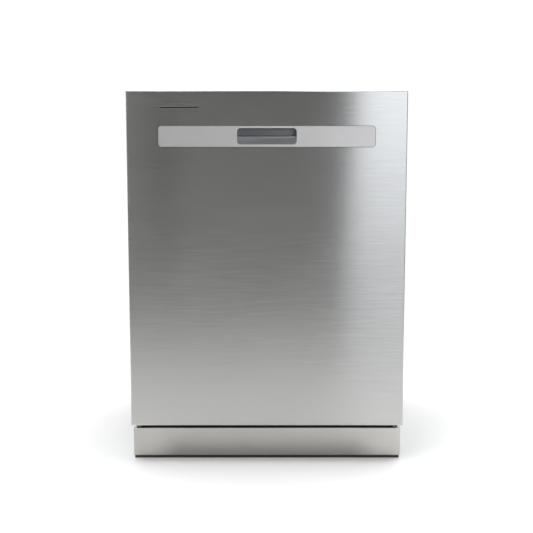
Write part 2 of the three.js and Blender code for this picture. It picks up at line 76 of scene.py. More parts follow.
def deselectAll():
    if bpy.context.object and bpy.context.object.mode != "OBJECT":
        bpy.ops.object.mode_set(mode="OBJECT")
    bpy.ops.object.select_all(action="DESELECT")


def pick(piece):
    deselectAll()
    bpy.context.view_layer.objects.active = piece
    piece.select_set(True)
    return piece


def startEdit(piece, kind="FACE"):
    pick(piece)
    bpy.ops.object.mode_set(mode="EDIT")
    bpy.ops.mesh.select_mode(type=kind)
    bpy.ops.mesh.select_all(action="DESELECT")


def endEdit():
    bpy.ops.object.mode_set(mode="OBJECT")


def selectAll():
    bpy.ops.mesh.select_all(action="SELECT")


def faceOutwards():
    selectAll()
    bpy.ops.mesh.normals_make_consistent(inside=False)


def mergeDoubles(apart=1e-6):
    selectAll()
    bpy.ops.mesh.remove_doubles(threshold=apart)


def extrude(step):
    bpy.ops.mesh.extrude_region_move(TRANSFORM_OT_translate={"value": step})


def applyPlace():
    bpy.ops.object.transform_apply(location=True, rotation=True, scale=True)


def place(piece, spot, turn=(0, 0, 0)):
    pick(piece)
    piece.location = spot
    piece.rotation_euler = turn
    applyPlace()
    return piece


def selectWhere(piece, kind, test):
    # kind is verts, edges or faces; test takes a vert's place, an edge's two ends,
    # or a face's middle and normal
    mesh = bmesh.from_edit_mesh(piece.data)
    for element in getattr(mesh, kind):
        if kind == "verts":
            hit = test(element.co)
        elif kind == "edges":
            hit = test(element.verts[0].co, element.verts[1].co)
        else:
            hit = test(element.calc_center_median(), element.normal)
        element.select_set(bool(hit))
    mesh.select_flush_mode()
    bmesh.update_edit_mesh(piece.data)


def modify(piece, kind, **settings):
    pick(piece)
    modifier = piece.modifiers.new(kind.title(), kind)
    for key, value in settings.items():
        setattr(modifier, key, value)
    bpy.ops.object.modifier_apply(modifier=modifier.name)
    return piece


def box(name, low, high):
    deselectAll()
    middle = [(a + b) / 2 for a, b in zip(low, high)]
    bpy.ops.mesh.primitive_cube_add(size=1, location=middle)
    piece = bpy.context.object
    piece.name = name
    piece.scale = [abs(b - a) for a, b in zip(low, high)]
    applyPlace()
    return piece


def cylinder(name, start, end, radius, sides=32):
    deselectAll()
    start, end = Vector(start), Vector(end)
    run = end - start
    turn = run.to_track_quat("Z", "Y").to_euler()
    bpy.ops.mesh.primitive_cylinder_add(
        vertices=sides, radius=radius, depth=run.length, location=(start + end) / 2, rotation=turn)
    piece = bpy.context.object
    piece.name = name
    applyPlace()
    return piece


def roundEdges(piece, width, segments=3, angle=35):
    # flat faces keep their own normals, so that a wide flat sheet reflects as one
    smooth(piece, angle)
    return modify(piece, "BEVEL", width=width, segments=segments, limit_method="ANGLE",
                  angle_limit=math.radians(angle), harden_normals=True)


def sink(piece, facing, border, move):
    # insets the faces on one side and pushes them in
    startEdit(piece)
    selectWhere(piece, "faces", lambda c, n: n.dot(Vector(facing)) > 0.9)
    bpy.ops.mesh.inset(thickness=border)
    bpy.ops.transform.translate(value=move)
    endEdit()
    return piece


def roundBox(name, low, high, width, segments=2, angle=35):
    return roundEdges(box(name, low, high), width, segments, angle)


def roundBar(name, start, end, radius, width, sides=32):
    return roundEdges(cylinder(name, start, end, radius, sides), width, 2)


def smooth(piece, angle=35):
    pick(piece)
    bpy.ops.object.shade_smooth_by_angle(angle=math.radians(angle))
    return piece


def cutWith(piece, *cutters):
    for cutter in cutters:
        modify(piece, "BOOLEAN", operation="DIFFERENCE", solver="EXACT", object=cutter)
        bpy.data.objects.remove(cutter)
    return piece


def joinPieces(name, pieces):
    deselectAll()
    for piece in pieces:
        piece.select_set(True)
    bpy.context.view_layer.objects.active = pieces[0]
    if len(pieces) > 1:
        bpy.ops.object.join()
    pieces[0].name = name
    return pieces[0]


def copyOf(piece, name, spot=(0, 0, 0)):
    made = bpy.data.objects.new(name, piece.data.copy())
    bpy.context.scene.collection.objects.link(made)
    return place(made, spot)


def slab(name, middle, size, turn, radius, depth, segments):
    # a rectangle with round corners, drawn out by depth
    deselectAll()
    bpy.ops.mesh.primitive_plane_add(size=1, location=middle, rotation=turn)
    piece = bpy.context.object
    piece.name = name
    piece.scale = (*size, 1)
    applyPlace()
    startEdit(piece, "VERT")
    selectAll()
    bpy.ops.mesh.bevel(offset=radius, segments=segments, affect="VERTICES")
    selectAll()
    extrude(depth)
    faceOutwards()
    endEdit()
    return piece


def plate(name, left, low, right, high, radius, y0, y1, segments=6):
    # upright, seen from the front
    return slab(name, ((left + right) / 2, y0, (low + high) / 2), (right - left, high - low),
                (math.pi / 2, 0, 0), radius, (0, y1 - y0, 0), segments)


def plateFlat(name, left, front, right, back, radius, z0, z1, segments=5):
    # level, seen from above
    return slab(name, ((left + right) / 2, (front + back) / 2, z0), (right - left, back - front), (0, 0, 0),
                radius, (0, 0, z1 - z0), segments)


def path(name, points, bend=0.0, segments=4, closed=False):
    # edges through the points, their corners rounded
    deselectAll()
    bpy.ops.mesh.primitive_plane_add(size=0.001, location=(0, 0, 0))
    piece = bpy.context.object
    piece.name = name
    startEdit(piece, "VERT")
    selectAll()
    bpy.ops.mesh.merge(type="CENTER")
    bpy.ops.transform.translate(value=points[0])
    for before, after in zip(points, points[1:]):
        step = [b - a for a, b in zip(before, after)]
        extrude(step)
    if closed:
        mergeDoubles()
    if bend > 0:
        selectWhere(piece, "verts", lambda c: True)
        mesh = bmesh.from_edit_mesh(piece.data)
        for vert in mesh.verts:
            vert.select_set(len(vert.link_edges) == 2)
        bmesh.update_edit_mesh(piece.data)
        bpy.ops.mesh.bevel(offset=bend, segments=segments, affect="VERTICES")
    endEdit()
    return piece


def thicken(piece, radius, sides=2):
    # turns edges into a round wire or tube
    pick(piece)
    bpy.ops.object.convert(target="CURVE")
    wire = bpy.context.object
    wire.data.bevel_depth = radius
    wire.data.bevel_resolution = sides
    wire.data.use_fill_caps = True
    bpy.ops.object.convert(target="MESH")
    return smooth(bpy.context.object, 60)


def wireThrough(name, points, radius, bend=0.0, sides=2):
    return thicken(path(name, points, bend), radius, sides)


def spun(name, profile, centre, axis=(0, 0, 1), steps=48, start=(1, 0, 0)):
    # a profile of (radius, height) points spun round an axis through centre
    axis, start, centre = Vector(axis), Vector(start), Vector(centre)
    points = [centre + start * r + axis * h for r, h in profile]
    piece = path(name, points)
    startEdit(piece, "VERT")
    selectAll()
    bpy.ops.mesh.spin(steps=steps, angle=2 * math.pi, center=centre, axis=axis)
    mergeDoubles()
    bpy.ops.mesh.normals_make_consistent(inside=False)
    endEdit()
    return smooth(piece, 35)


def spunAlongX(name, profile, centre, steps):
    return spun(name, profile, centre, (1, 0, 0), steps, (0, 1, 0))


def spunAlongY(name, profile, centre, steps):
    return spun(name, profile, centre, (0, 1, 0), steps, (1, 0, 0))


def fromNode(node, name, bevel=0.0, segments=2):
    # a merged copy of a CAD node with its edges rounded
    piece = bpy.data.objects.new(name, frame["nodes"][node].data.copy())
    bpy.context.scene.collection.objects.link(piece)
    piece.data.materials.clear()
    startEdit(piece)
    mergeDoubles(5e-6)
    bpy.ops.mesh.dissolve_limited(angle_limit=math.radians(1))
    endEdit()
    return roundEdges(piece, bevel, segments, 40) if bevel else smooth(piece, 40)


def fit(piece, body, material, *nodes, slot=None):
    # a finished piece rides on its body and stands for its CAD nodes
    pick(piece)
    applyPlace()
    piece.data.materials.clear()
    piece.data.materials.append(material)
    if body:
        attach(piece, body)
    if nodes:
        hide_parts(*nodes)
    return piece


def middleOf(node):
    low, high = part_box(node)
    return (low + high) / 2


# materials

def linear(code):
    # an sRGB hex colour as linear RGBA
    parts = [int(code[i:i + 2], 16) / 255 for i in (0, 2, 4)]
    return [c / 12.92 if c <= 0.04045 else ((c + 0.055) / 1.055) ** 2.4 for c in parts] + [1.0]


def addNode(tree, kind, inputs=None, **settings):
    node = tree.nodes.new("ShaderNode" + kind)
    for key, value in settings.items():
        setattr(node, key, value)
    for key, value in (inputs or {}).items():
        if isinstance(value, bpy.types.NodeSocket):
            tree.links.new(value, node.inputs[key])
        else:
            node.inputs[key].default_value = value
    return node


def newMaterial(name, slot, **shader):
    material = bpy.data.materials.new(name)
    material.use_nodes = True
    material["slot"] = slot
    tree = material.node_tree
    surface = tree.nodes["Principled BSDF"]
    for key, value in shader.items():
        surface.inputs[key.replace("_", " ")].default_value = value
    where = addNode(tree, "TexCoord").outputs["Object"]
    return material, tree, surface, where


def mixColours(tree, share, first, second):
    mix = addNode(tree, "Mix", data_type="RGBA")
    tree.links.new(share, mix.inputs["Factor"])
    mix.inputs[6].default_value = linear(first)
    mix.inputs[7].default_value = linear(second)
    return mix.outputs[2]


brushed = {"grain": 0.9, "streak": 70.0, "anisotropy": 0.97}  # mm


def brushedStainless(name, light, dark, rough):
    # stainless sheet ground with a belt: fine level scratches that smear reflections upright
    material, tree, surface, where = newMaterial(name, "brushed_stainless", Metallic=1.0,
                                                 Anisotropic=brushed["anisotropy"])
    # the real grain is about 0.1 mm wide, drawn 0.9 mm wide and 70 mm long so that it shows
    fine, long = 1000 / brushed["grain"], 1000 / brushed["streak"]
    stretch = addNode(tree, "Mapping", {"Vector": where, "Scale": (long, fine, fine)})
    streaks = addNode(tree, "TexNoise", {"Vector": stretch.outputs[0], "Scale": 1.0, "Detail": 4.0})
    cloud = addNode(tree, "TexNoise", {"Vector": where, "Scale": 6.0, "Detail": 2.0})
    blend = addNode(tree, "Math", {0: streaks.outputs["Fac"], 1: 0.8}, operation="MULTIPLY")
    both = addNode(tree, "Math", {0: cloud.outputs["Fac"], 1: 0.2, 2: blend.outputs[0]},
                   operation="MULTIPLY_ADD")
    tone = addNode(tree, "MapRange", {"Value": both.outputs[0], "From Min": 0.3, "From Max": 0.7})
    tree.links.new(mixColours(tree, tone.outputs[0], dark, light), surface.inputs["Base Color"])
    roughness = addNode(tree, "MapRange", {"Value": both.outputs[0], "From Min": 0.3, "From Max": 0.7,
                                           "To Min": rough[0], "To Max": rough[1]})
    tree.links.new(roughness.outputs[0], surface.inputs["Roughness"])
    bump = addNode(tree, "Bump", {"Strength": 0.03, "Distance": 0.0001, "Height": streaks.outputs["Fac"]})
    tree.links.new(bump.outputs[0], surface.inputs["Normal"])
    tangent = addNode(tree, "Tangent", direction_type="RADIAL", axis="Z")
    tree.links.new(tangent.outputs[0], surface.inputs["Tangent"])
    surface.inputs["Anisotropic Rotation"].default_value = 0.25
    return material


def moulded(name, slot, first, second, rough=0.45, grain=0.6, depth=0.05, **shader):
    # moulded plastic: a fine spark-eroded texture and a faint cloudiness; the real texture is about 0.1 mm,
    # drawn 0.4 to 2 mm wide so that it shows
    material, tree, surface, where = newMaterial(name, slot, IOR=1.5, **shader)
    cloud = addNode(tree, "TexNoise", {"Vector": where, "Scale": 18.0, "Detail": 3.0})
    tree.links.new(mixColours(tree, cloud.outputs["Fac"], first, second), surface.inputs["Base Color"])
    texture = addNode(tree, "TexNoise", {"Vector": where, "Scale": 1000 / grain, "Detail": 2.0})
    roughness = addNode(tree, "MapRange", {"Value": texture.outputs["Fac"], "From Min": 0.3, "From Max": 0.7,
                                           "To Min": rough - 0.06, "To Max": rough + 0.08})
    tree.links.new(roughness.outputs[0], surface.inputs["Roughness"])
    bump = addNode(tree, "Bump", {"Strength": depth, "Distance": 0.0003, "Height": texture.outputs["Fac"]})
    tree.links.new(bump.outputs[0], surface.inputs["Normal"])
    return material


def sheetMetal(name, slot, first, second, rough=0.3, spangle=0.0, ripple=0.02, **shader):
    # rolled or zinc coated sheet: crystal spangles where it is galvanised, else rolling lines 2.5 mm apart
    material, tree, surface, where = newMaterial(name, slot, Metallic=1.0, **shader)
    if spangle:
        cells = addNode(tree, "TexVoronoi", {"Vector": where, "Scale": 1000 / spangle})
        pattern = addNode(tree, "SeparateColor", {"Color": cells.outputs["Color"]}).outputs[0]
    else:
        stretch = addNode(tree, "Mapping", {"Vector": where, "Scale": (25, 25, 400)})
        pattern = addNode(tree, "TexNoise", {"Vector": stretch.outputs[0], "Scale": 1.0,
                "Detail": 3.0}).outputs["Fac"]
    tree.links.new(mixColours(tree, pattern, first, second), surface.inputs["Base Color"])
    spread = 0.07 if spangle else 0.02
    roughness = addNode(tree, "MapRange", {"Value": pattern, "To Min": rough - spread,
                                           "To Max": rough + spread})
    tree.links.new(roughness.outputs[0], surface.inputs["Roughness"])
    waves = addNode(tree, "TexNoise", {"Vector": where, "Scale": 14.0, "Detail": 2.0})
    bump = addNode(tree, "Bump", {"Strength": ripple, "Distance": 0.004, "Height": waves.outputs["Fac"]})
    tree.links.new(bump.outputs[0], surface.inputs["Normal"])
    return material


def fibreFelt(name, slot, first, second):
    # felt on a bitumen sheet: tangled fibres 2 to 3 mm long, dull and dark
    material, tree, surface, where = newMaterial(name, slot, Roughness=0.95, Sheen_Weight=0.35)
    fibres = addNode(tree, "TexNoise", {"Vector": where, "Scale": 380.0, "Detail": 6.0, "Distortion": 2.5})
    patches = addNode(tree, "TexNoise", {"Vector": where, "Scale": 60.0, "Detail": 4.0})
    both = addNode(tree, "Math", {0: patches.outputs["Fac"], 1: 0.3, 2: fibres.outputs["Fac"]},
                   operation="MULTIPLY_ADD")
    tone = addNode(tree, "MapRange", {"Value": both.outputs[0], "From Min": 0.45, "From Max": 0.85})
    tree.links.new(mixColours(tree, tone.outputs[0], first, second), surface.inputs["Base Color"])
    bump = addNode(tree, "Bump", {"Strength": 0.5, "Distance": 0.0008, "Height": fibres.outputs["Fac"]})
    tree.links.new(bump.outputs[0], surface.inputs["Normal"])
    return material


def perforatedSheet(name, slot, pitch=2.0):
    # thin stainless punched with 1.3 mm holes at 2 mm centres: dark dots on bright metal
    material, tree, surface, where = newMaterial(name, slot, Metallic=1.0, Roughness=0.3)
    cells = addNode(tree, "TexVoronoi", {"Vector": where, "Scale": 1000 / pitch, "Randomness": 0.0})
    hole = addNode(tree, "MapRange", {"Value": cells.outputs["Distance"], "From Min": 0.30, "From Max": 0.36})
    tree.links.new(mixColours(tree, hole.outputs[0], "191A1B", "BDBFC1"), surface.inputs["Base Color"])
    bump = addNode(tree, "Bump", {"Strength": 0.6, "Distance": 0.0004, "Height": hole.outputs[0]})
    tree.links.new(bump.outputs[0], surface.inputs["Normal"])
    return material


perforated = perforatedSheet("perforatedStainless", "tub_stainless")
doorSteel = brushedStainless("brushedStainless", "C1C1BF", "B4B4B2", (0.19, 0.23))
kickSteel = brushedStainless("kickStainless", "C0BEBA", "B3B1AD", (0.17, 0.2))
stripSilver = moulded("satinSilverPlating", "satin_silver", "D4D3D2", "CBCAC9", 0.36, 0.9, 0.03, Metallic=0.6)
# painted shade: a darker copy of the strip's satin silver, for the recessed finger pocket and the slot's rim
shadedSatinSilver = moulded("satinSilverPaintedShade", "satin_silver", "9A9B9C", "909193", 0.34, 0.5, 0.04,
                       Metallic=0.9)
tubSteel = sheetMetal("brightRolledStainless", "tub_stainless", "C8CACB", "BFC1C2", 0.28)
zinc = sheetMetal("galvanisedSheet", "galvanised_steel", "A6ABAF", "8D9296", 0.42, spangle=9.0)
springWire = sheetMetal("drawnSpringSteel", "spring_steel", "8C8E91", "6F7174", 0.35)
heaterSheath = sheetMetal("heaterSheath", "spring_steel", "6B6560", "4E4A48", 0.45)
blackAbs = moulded("blackAbs", "black_plastic", "1C1D1F", "232427", 0.42)
blackGloss = moulded("blackGlossAbs", "black_plastic", "101113", "15161A", 0.2, 0.8, 0.02)
greyPp = moulded("greyPolypropylene", "grey_plastic", "8F9499", "868B90", 0.48)
darkPp = moulded("darkPolypropylene", "black_plastic", "33363A", "2B2E31", 0.5)
whitePp = moulded("whitePolypropylene", "white_plastic", "DADAD6", "CFCFCB", 0.45)
nylon = moulded("nylonCoating", "nylon_wire", "A2A7AC", "989DA3", 0.34, 1.5, 0.05)
gasketRubber = moulded("epdmRubber", "gasket_rubber", "2B2C2E", "232426", 0.68, 0.4, 0.08)
felt = fibreFelt("feltOnBitumen", "bitumen_felt", "2A2B2D", "505255")
webbing = fibreFelt("wovenStrap", "bitumen_felt", "17181A", "2C2D30")
lampLens = moulded("clearLampLens", "smoked_lens", "C9CCD0", "B5B8BD", 0.2, 0.5, 0.01)
blueCap = moulded("bluePolypropylene", "grey_plastic", "5C7896", "54708D", 0.42)
smoked = moulded("smokedAcrylic", "smoked_lens", "08090B", "0C0D10", 0.14, 2.0, 0.01)
print("materials made")

# door

skinLow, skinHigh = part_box("door_skin")
stripLow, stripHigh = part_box("pull_handle")
door = {
    "bend": 2.6 * mm, "sheet": 1.2 * mm, "hem": 7.2 * mm, "stripCorner": 6 * mm, "stripGap": 0.8 * mm,
    "stripHalf": 233.5 * mm, "stripLow": 706 * mm, "stripHigh": 750.5 * mm, "rim": 1.3 * mm,
}


def makeDoorSkin():
    piece = box("doorSkin", skinLow, skinHigh)
    startEdit(piece)
    selectWhere(piece, "faces", lambda c, n: n.y > 0.9)
    bpy.ops.mesh.delete(type="FACE")
    bpy.ops.mesh.select_mode(type="EDGE")
    front = skinLow.y + 1e-5
    selectWhere(piece, "edges", lambda a, b: a.y < front and b.y < front)
    bpy.ops.mesh.bevel(offset=door["bend"], segments=6, affect="EDGES")
    # a narrow border keeps the bend's shading off the flat sheet
    bpy.ops.mesh.select_mode(type="FACE")
    selectWhere(piece, "faces", lambda c, n: n.y < -0.999 and abs(c.x) < 0.01)
    bpy.ops.mesh.inset(thickness=0.6 * mm)
    # the sheet turns over at the top and ends in a narrow hem
    selectAll()
    hem = skinLow.y + door["hem"]
    bpy.ops.mesh.bisect(plane_co=(0, hem, 0), plane_no=(0, 1, 0))
    selectWhere(piece, "faces", lambda c, n: n.z > 0.999 and c.y > hem)
    bpy.ops.mesh.delete(type="FACE")
    endEdit()
    modify(piece, "SOLIDIFY", thickness=door["sheet"], offset=-1, use_even_offset=True)
    gap = door["stripGap"]
    stripHole = plate("stripHole", -door["stripHalf"] - gap, door["stripLow"] - gap, door["stripHalf"] + gap,
                      door["stripHigh"] + gap, door["stripCorner"] + gap, skinLow.y - 0.01, skinLow.y + 0.006)
    low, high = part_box("status_lens")
    rim = door["rim"] + 0.05 * mm
    slotHole = plate("slotHole", low.x - rim, low.z - rim, high.x + rim, high.z + rim, 1.8 * mm,
                     skinLow.y - 0.01, skinLow.y + 0.006)
    notches = [box("notch", (s * 0.285, -0.297, 0.085), (s * 0.300, -0.255, 0.0905)) for s in (-1, 1)]
    cutWith(piece, stripHole, slotHole, *notches)
    smooth(piece, 32)
    return fit(piece, "door", doorSteel, "door_skin")


def makeHandle():
    face, inner = stripLow.y, stripLow.y + 4.6 * mm
    half, low, high = door["stripHalf"], door["stripLow"], door["stripHigh"]
    strip = plate("handleStrip", -half, low, half, high, door["stripCorner"], face, inner, 8)
    opening = plate("opening", -0.0642, 0.711, 0.0642, 0.746, 7 * mm, face - 0.01, inner + 0.01, 8)
    cutWith(strip, opening)
    roundEdges(strip, 0.75 * mm, 3, 50)
    fit(strip, "door", stripSilver, "pull_handle")
    # the pocket: a block, hollowed by a shape with a ridge that fingers hook behind
    cup = plate("handlePocket", -0.070, 0.701, 0.070, 0.756, 9 * mm, inner + 0.1 * mm, -0.271, 6)
    hollow = path("hollow", [(0, face - 0.01, 0.711), (0, face + 0.003, 0.711), (0, -0.3071, 0.7262),
                             (0, -0.3040, 0.7292), (0, -0.2975, 0.7285), (0, -0.2915, 0.712),
                             (0, -0.275, 0.712), (0, -0.275, 0.746), (0, face - 0.01, 0.746),
                             (0, face - 0.01, 0.711)])
    startEdit(hollow, "VERT")
    mergeDoubles()
    selectAll()
    bpy.ops.mesh.edge_face_add()
    bpy.ops.transform.translate(value=(-0.0642, 0, 0))
    extrude((0.1284, 0, 0))
    faceOutwards()
    endEdit()
    roundEdges(hollow, 2.2 * mm, 4, 25)
    cutWith(cup, hollow)
    smooth(cup, 30)
    # painted shade: the pocket takes the darker copy of the satin silver
    fit(cup, "door", shadedSatinSilver)
    # flange behind the sheet
    flange = plate("handleFlange", stripLow.x, stripLow.z, stripHigh.x, stripHigh.z, 6 * mm,
                   skinLow.y + 1.5 * mm, inner - 0.2 * mm)
    window = plate("window", -half + 4 * mm, low + 1.5 * mm, half - 4 * mm, high - 1.5 * mm, 4 * mm,
                   face - 0.01, inner + 0.01)
    cutWith(flange, window)
    fit(flange, "door", blackAbs, slot="black_plastic")


def makeStatusWindow():
    low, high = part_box("status_lens")
    lens = plate("statusWindow", low.x, low.z, high.x, high.z, 1.0 * mm, low.y, high.y, 4)
    roundEdges(lens, 0.25 * mm, 2)
    fit(lens, "door", smoked, "status_lens")
    # a thin bright rim pressed round the slot
    rim, gap = door["rim"], 0.1 * mm
    ring = plate("statusRim", low.x - rim, low.z - rim, high.x + rim, high.z + rim, 1.8 * mm,
                 skinLow.y - 0.35 * mm, skinLow.y + 1.5 * mm, 5)
    cutWith(ring, plate("ringHole", low.x - gap, low.z - gap, high.x + gap, high.z + gap, 1.0 * mm,
                        skinLow.y - 0.01, skinLow.y + 0.01, 4))
    roundEdges(ring, 0.3 * mm, 2)
    # painted shade: the rim takes the same darker copy of the satin silver
    fit(ring, "door", shadedSatinSilver)


makeDoorSkin()
makeHandle()
makeStatusWindow()
print("door front made")


def makeToeKick():
    low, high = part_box("toe_kick")
    piece = box("toeKick", low, high)
    startEdit(piece)
    selectWhere(piece, "faces", lambda c, n: n.y > 0.9)
    bpy.ops.mesh.delete(type="FACE")
    bpy.ops.mesh.select_mode(type="EDGE")
    front = low.y + 1e-5
    selectWhere(piece, "edges", lambda a, b: a.y < front and b.y < front)
    bpy.ops.mesh.bevel(offset=1.0 * mm, segments=4, affect="EDGES")
    bpy.ops.mesh.select_mode(type="FACE")
    selectWhere(piece, "faces", lambda c, n: n.y < -0.999)
    bpy.ops.mesh.inset(thickness=0.5 * mm)
    endEdit()
    modify(piece, "SOLIDIFY", thickness=1.2 * mm, offset=-1, use_even_offset=True)
    smooth(piece, 32)
    fit(piece, "cabinet", kickSteel, "toe_kick")


makeToeKick()
print("toe kick made")

# pieces inside and behind, each from its own node's place

def repeat(piece, count, step):
    return modify(piece, "ARRAY", count=count, use_relative_offset=False, use_constant_offset=True,
                  constant_offset_displace=step)


# a pan head screw with a cross recess, its head towards the given side
screw = {"radius": 4.2 * mm, "height": 2.2 * mm, "slot": 0.9 * mm}


def makeScrew(name, facing, size):
    radius, height = screw["radius"] * size, screw["height"] * size
    head = cylinder(name, (0, 0, 0), (0, 0, height), radius, 20)
    startEdit(head, "EDGE")
    selectWhere(head, "edges", lambda a, b: a.z > height / 2 and b.z > height / 2)
    bpy.ops.mesh.bevel(offset=height * 0.6, segments=3, affect="EDGES")
    endEdit()
    slot, reach = screw["slot"] * size / 2, radius * 0.6
    cutWith(head, box("slot", (-reach, -slot, height * 0.55), (reach, slot, height * 2)),
            box("slot", (-slot, -reach, height * 0.55), (slot, reach, height * 2)))
    smooth(head, 35)
    return place(head, (0, 0, 0), Vector(facing).to_track_quat("Z", "Y").to_euler())


def screwsAt(name, body, places, facing, size=1.0, material=None):
    first = makeScrew(name, facing, size)
    heads = [copyOf(first, name, spot) for spot in places]
    bpy.data.objects.remove(first)
    return fit(joinPieces(name, heads), body, material or zinc)


# tub: stainless chamber with pressed beads
tubSize = {"bead": 3.0 * mm, "beadHigh": 16 * mm, "beads": (0.330, 0.430, 0.690), "panel": 46 * mm}


def makeTub():
    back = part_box("tub")[1].y
    tub = fromNode("tub", "tub", 0.5 * mm)
    inner, rear = 0.2785, 0.2905
    parts = [tub]
    for z in tubSize["beads"]:
        for side in (-1, 1):
            bead = box("bead", (side * (inner - tubSize["bead"]), -0.215, z),
                       (side * (inner + 0.001), 0.268, z + tubSize["beadHigh"]))
            parts.append(roundEdges(bead, 2.8 * mm, 4, 60))
    for left, right, bottom, top in ((-0.235, -0.05, 0.33, 0.53), (0.05, 0.235, 0.33, 0.53),
                                     (-0.235, -0.05, 0.61, 0.77), (0.05, 0.235, 0.61, 0.77)):
        panel = plate("panel", left, bottom, right, top, tubSize["panel"], rear - 2.6 * mm,
                      rear + 0.4 * mm, 8)
        parts.append(roundEdges(panel, 2.4 * mm, 4, 60))
    outside = plate("outside", -0.205, 0.30, 0.205, 0.74, 0.05, back - 0.5 * mm, back + 3.5 * mm, 8)
    parts.append(roundEdges(outside, 3.2 * mm, 4, 60))
    for x in (-0.12, 0, 0.12):
        rib = plate("rib", x - 0.012, 0.36, x + 0.012, 0.68, 0.011, back + 2 * mm, back + 6 * mm, 6)
        parts.append(roundEdges(rib, 3 * mm, 4, 60))
    fit(joinPieces("tub", parts), "cabinet", tubSteel, "tub")


def makeGasket():
    low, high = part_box("tub_gasket")
    half, top, middle = high.x - 6 * mm, high.z - 4 * mm, (low.y + high.y) / 2
    bulb = wireThrough("gasketBulb", [(-half, middle - 0.2 * mm, low.z), (-half, middle - 0.2 * mm, top),
                                      (half, middle - 0.2 * mm, top), (half, middle - 0.2 * mm, low.z)],
                       2.4 * mm, 22 * mm, 5)
    lip = wireThrough("gasketLip", [(-half - 4 * mm, high.y - 1 * mm, low.z),
                                    (-half - 4 * mm, high.y - 1 * mm, top + 3 * mm),
                                    (half + 4 * mm, high.y - 1 * mm, top + 3 * mm),
                                    (half + 4 * mm, high.y - 1 * mm, low.z)], 1.0 * mm, 26 * mm, 3)
    base = fromNode("tub_gasket", "gasketBase")
    startEdit(base, "VERT")
    selectWhere(base, "verts", lambda c: c.y < middle)
    bpy.ops.transform.translate(value=(0, high.y - 1.6 * mm - low.y, 0))
    endEdit()
    fit(joinPieces("tubGasket", [bulb, lip, base]), "cabinet", gasketRubber, "tub_gasket")


# sound blanket: felt on bitumen, tufted in squares, with two straps round it
blanket = {"step": 10 * mm, "tuft": 96 * mm, "crown": 4.6 * mm, "thick": 8 * mm, "strap": 24 * mm,
           "fill": 0.35}


def makeBlanket():
    low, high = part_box("sound_blanket")
    crown, tuft = blanket["crown"], blanket["tuft"]
    half, top = high.x - crown * 0.4 - 0.5 * mm, high.z - crown * 0.4 - 0.5 * mm
    piece = path("soundBlanket", [(-half, low.y, low.z), (-half, low.y, top), (half, low.y, top),
                                  (half, low.y, low.z)], 26 * mm, 5)
    startEdit(piece, "EDGE")
    selectWhere(piece, "edges", lambda a, b: (a - b).length > 0.3)
    bpy.ops.mesh.subdivide(number_cuts=int(0.6 / blanket["step"]))
    selectAll()
    extrude((0, high.y - low.y, 0))
    selectWhere(piece, "edges", lambda a, b: abs(a.y - b.y) > 0.3)
    bpy.ops.mesh.subdivide(number_cuts=int((high.y - low.y) / blanket["step"]))
    faceOutwards()
    mesh = bmesh.from_edit_mesh(piece.data)
    outward = 1 if mesh.faces[:][0].normal.dot(mesh.faces[:][0].calc_center_median() - Vector((0, 0,
            0.4))) > 0 else -1
    if outward < 0:
        bpy.ops.mesh.flip_normals()
    # felt rises between the tufts and is thinner at its edges
    mesh = bmesh.from_edit_mesh(piece.data)
    mesh.normal_update()
    for vert in mesh.verts:
        run = vert.co.z - low.z if abs(vert.co.x) > half - 2 * mm else vert.co.x
        wave = abs(math.sin(math.pi * run / tuft) * math.sin(math.pi * (vert.co.y - low.y) / tuft)) ** 0.35
        vert.co += vert.normal * crown * (wave - 0.6)
    bmesh.update_edit_mesh(piece.data)
    endEdit()
    modify(piece, "SOLIDIFY", thickness=blanket["thick"], offset=-1)
    roundEdges(piece, 1.5 * mm, 2, 60)
    fit(piece, "cabinet", felt, "sound_blanket")
    for number, y in enumerate((-0.11, 0.17)):
        reach, above = high.x + 0.2 * mm, high.z + 0.2 * mm
        strap = path("strap", [(-reach, y, 0.16), (-reach, y, above), (reach, y, above),
                               (reach, y, 0.16)], 32 * mm, 8)
        startEdit(strap, "EDGE")
        selectAll()
        extrude((0, blanket["strap"], 0))
        faceOutwards()
        endEdit()
        modify(strap, "SOLIDIFY", thickness=0.9 * mm, offset=0)
        smooth(strap, 40)
        fit(strap, "cabinet", webbing)
        strap.name = "blanketStrap%d" % (number + 1)


# racks: round wires bent at the corners, rows of tines, and moulded fittings
rackWire = {"rim": 2.6 * mm, "mesh": 1.9 * mm, "bend": 16 * mm, "tine": 1.6 * mm}


def wireBasket(name, low, high, floor, rim, across, along, tineRows, tineTop):
    left, front, right, back = low.x, low.y, high.x, high.y
    bend, thin = rackWire["bend"], rackWire["mesh"]
    cross = path("cross", [(left, front, rim), (left, front, floor), (right, front, floor),
                           (right, front, rim)], bend)
    repeat(cross, across, (0, (back - front) / (across - 1), 0))
    step = (right - left - 2 * bend) / (along - 1)
    length = path("length", [(left + bend, front, rim), (left + bend, front, floor + thin),
                             (left + bend, back, floor + thin), (left + bend, back, rim)], bend)
    repeat(length, along, (step, 0, 0))
    middle = path("middle", [(left, front, (rim + floor) / 2), (right, front, (rim + floor) / 2),
                             (right, back, (rim + floor) / 2), (left, back, (rim + floor) / 2),
                             (left, front, (rim + floor) / 2)], bend, closed=True)
    pieces = [thicken(joinPieces(name, [cross, length, middle]), thin, 2)]
    pieces.append(thicken(path("rim", [(left, front, rim), (right, front, rim), (right, back, rim),
                                       (left, back, rim), (left, front, rim)], bend, closed=True),
                          rackWire["rim"], 3))
    for y, first, last, lean in tineRows:
        count = int((last - first) / 0.027) + 1
        tine = path("tine", [(first, y, floor), (first, y, tineTop - 0.008), (first, y + lean, tineTop)], 0)
        repeat(tine, count, ((last - first) / (count - 1), 0, 0))
        base = path("base", [(first - 0.006, y, floor + thin), (last + 0.006, y, floor + thin)])
        pieces.append(thicken(joinPieces("tines", [tine, base]), rackWire["tine"], 2))
    return joinPieces(name, pieces)


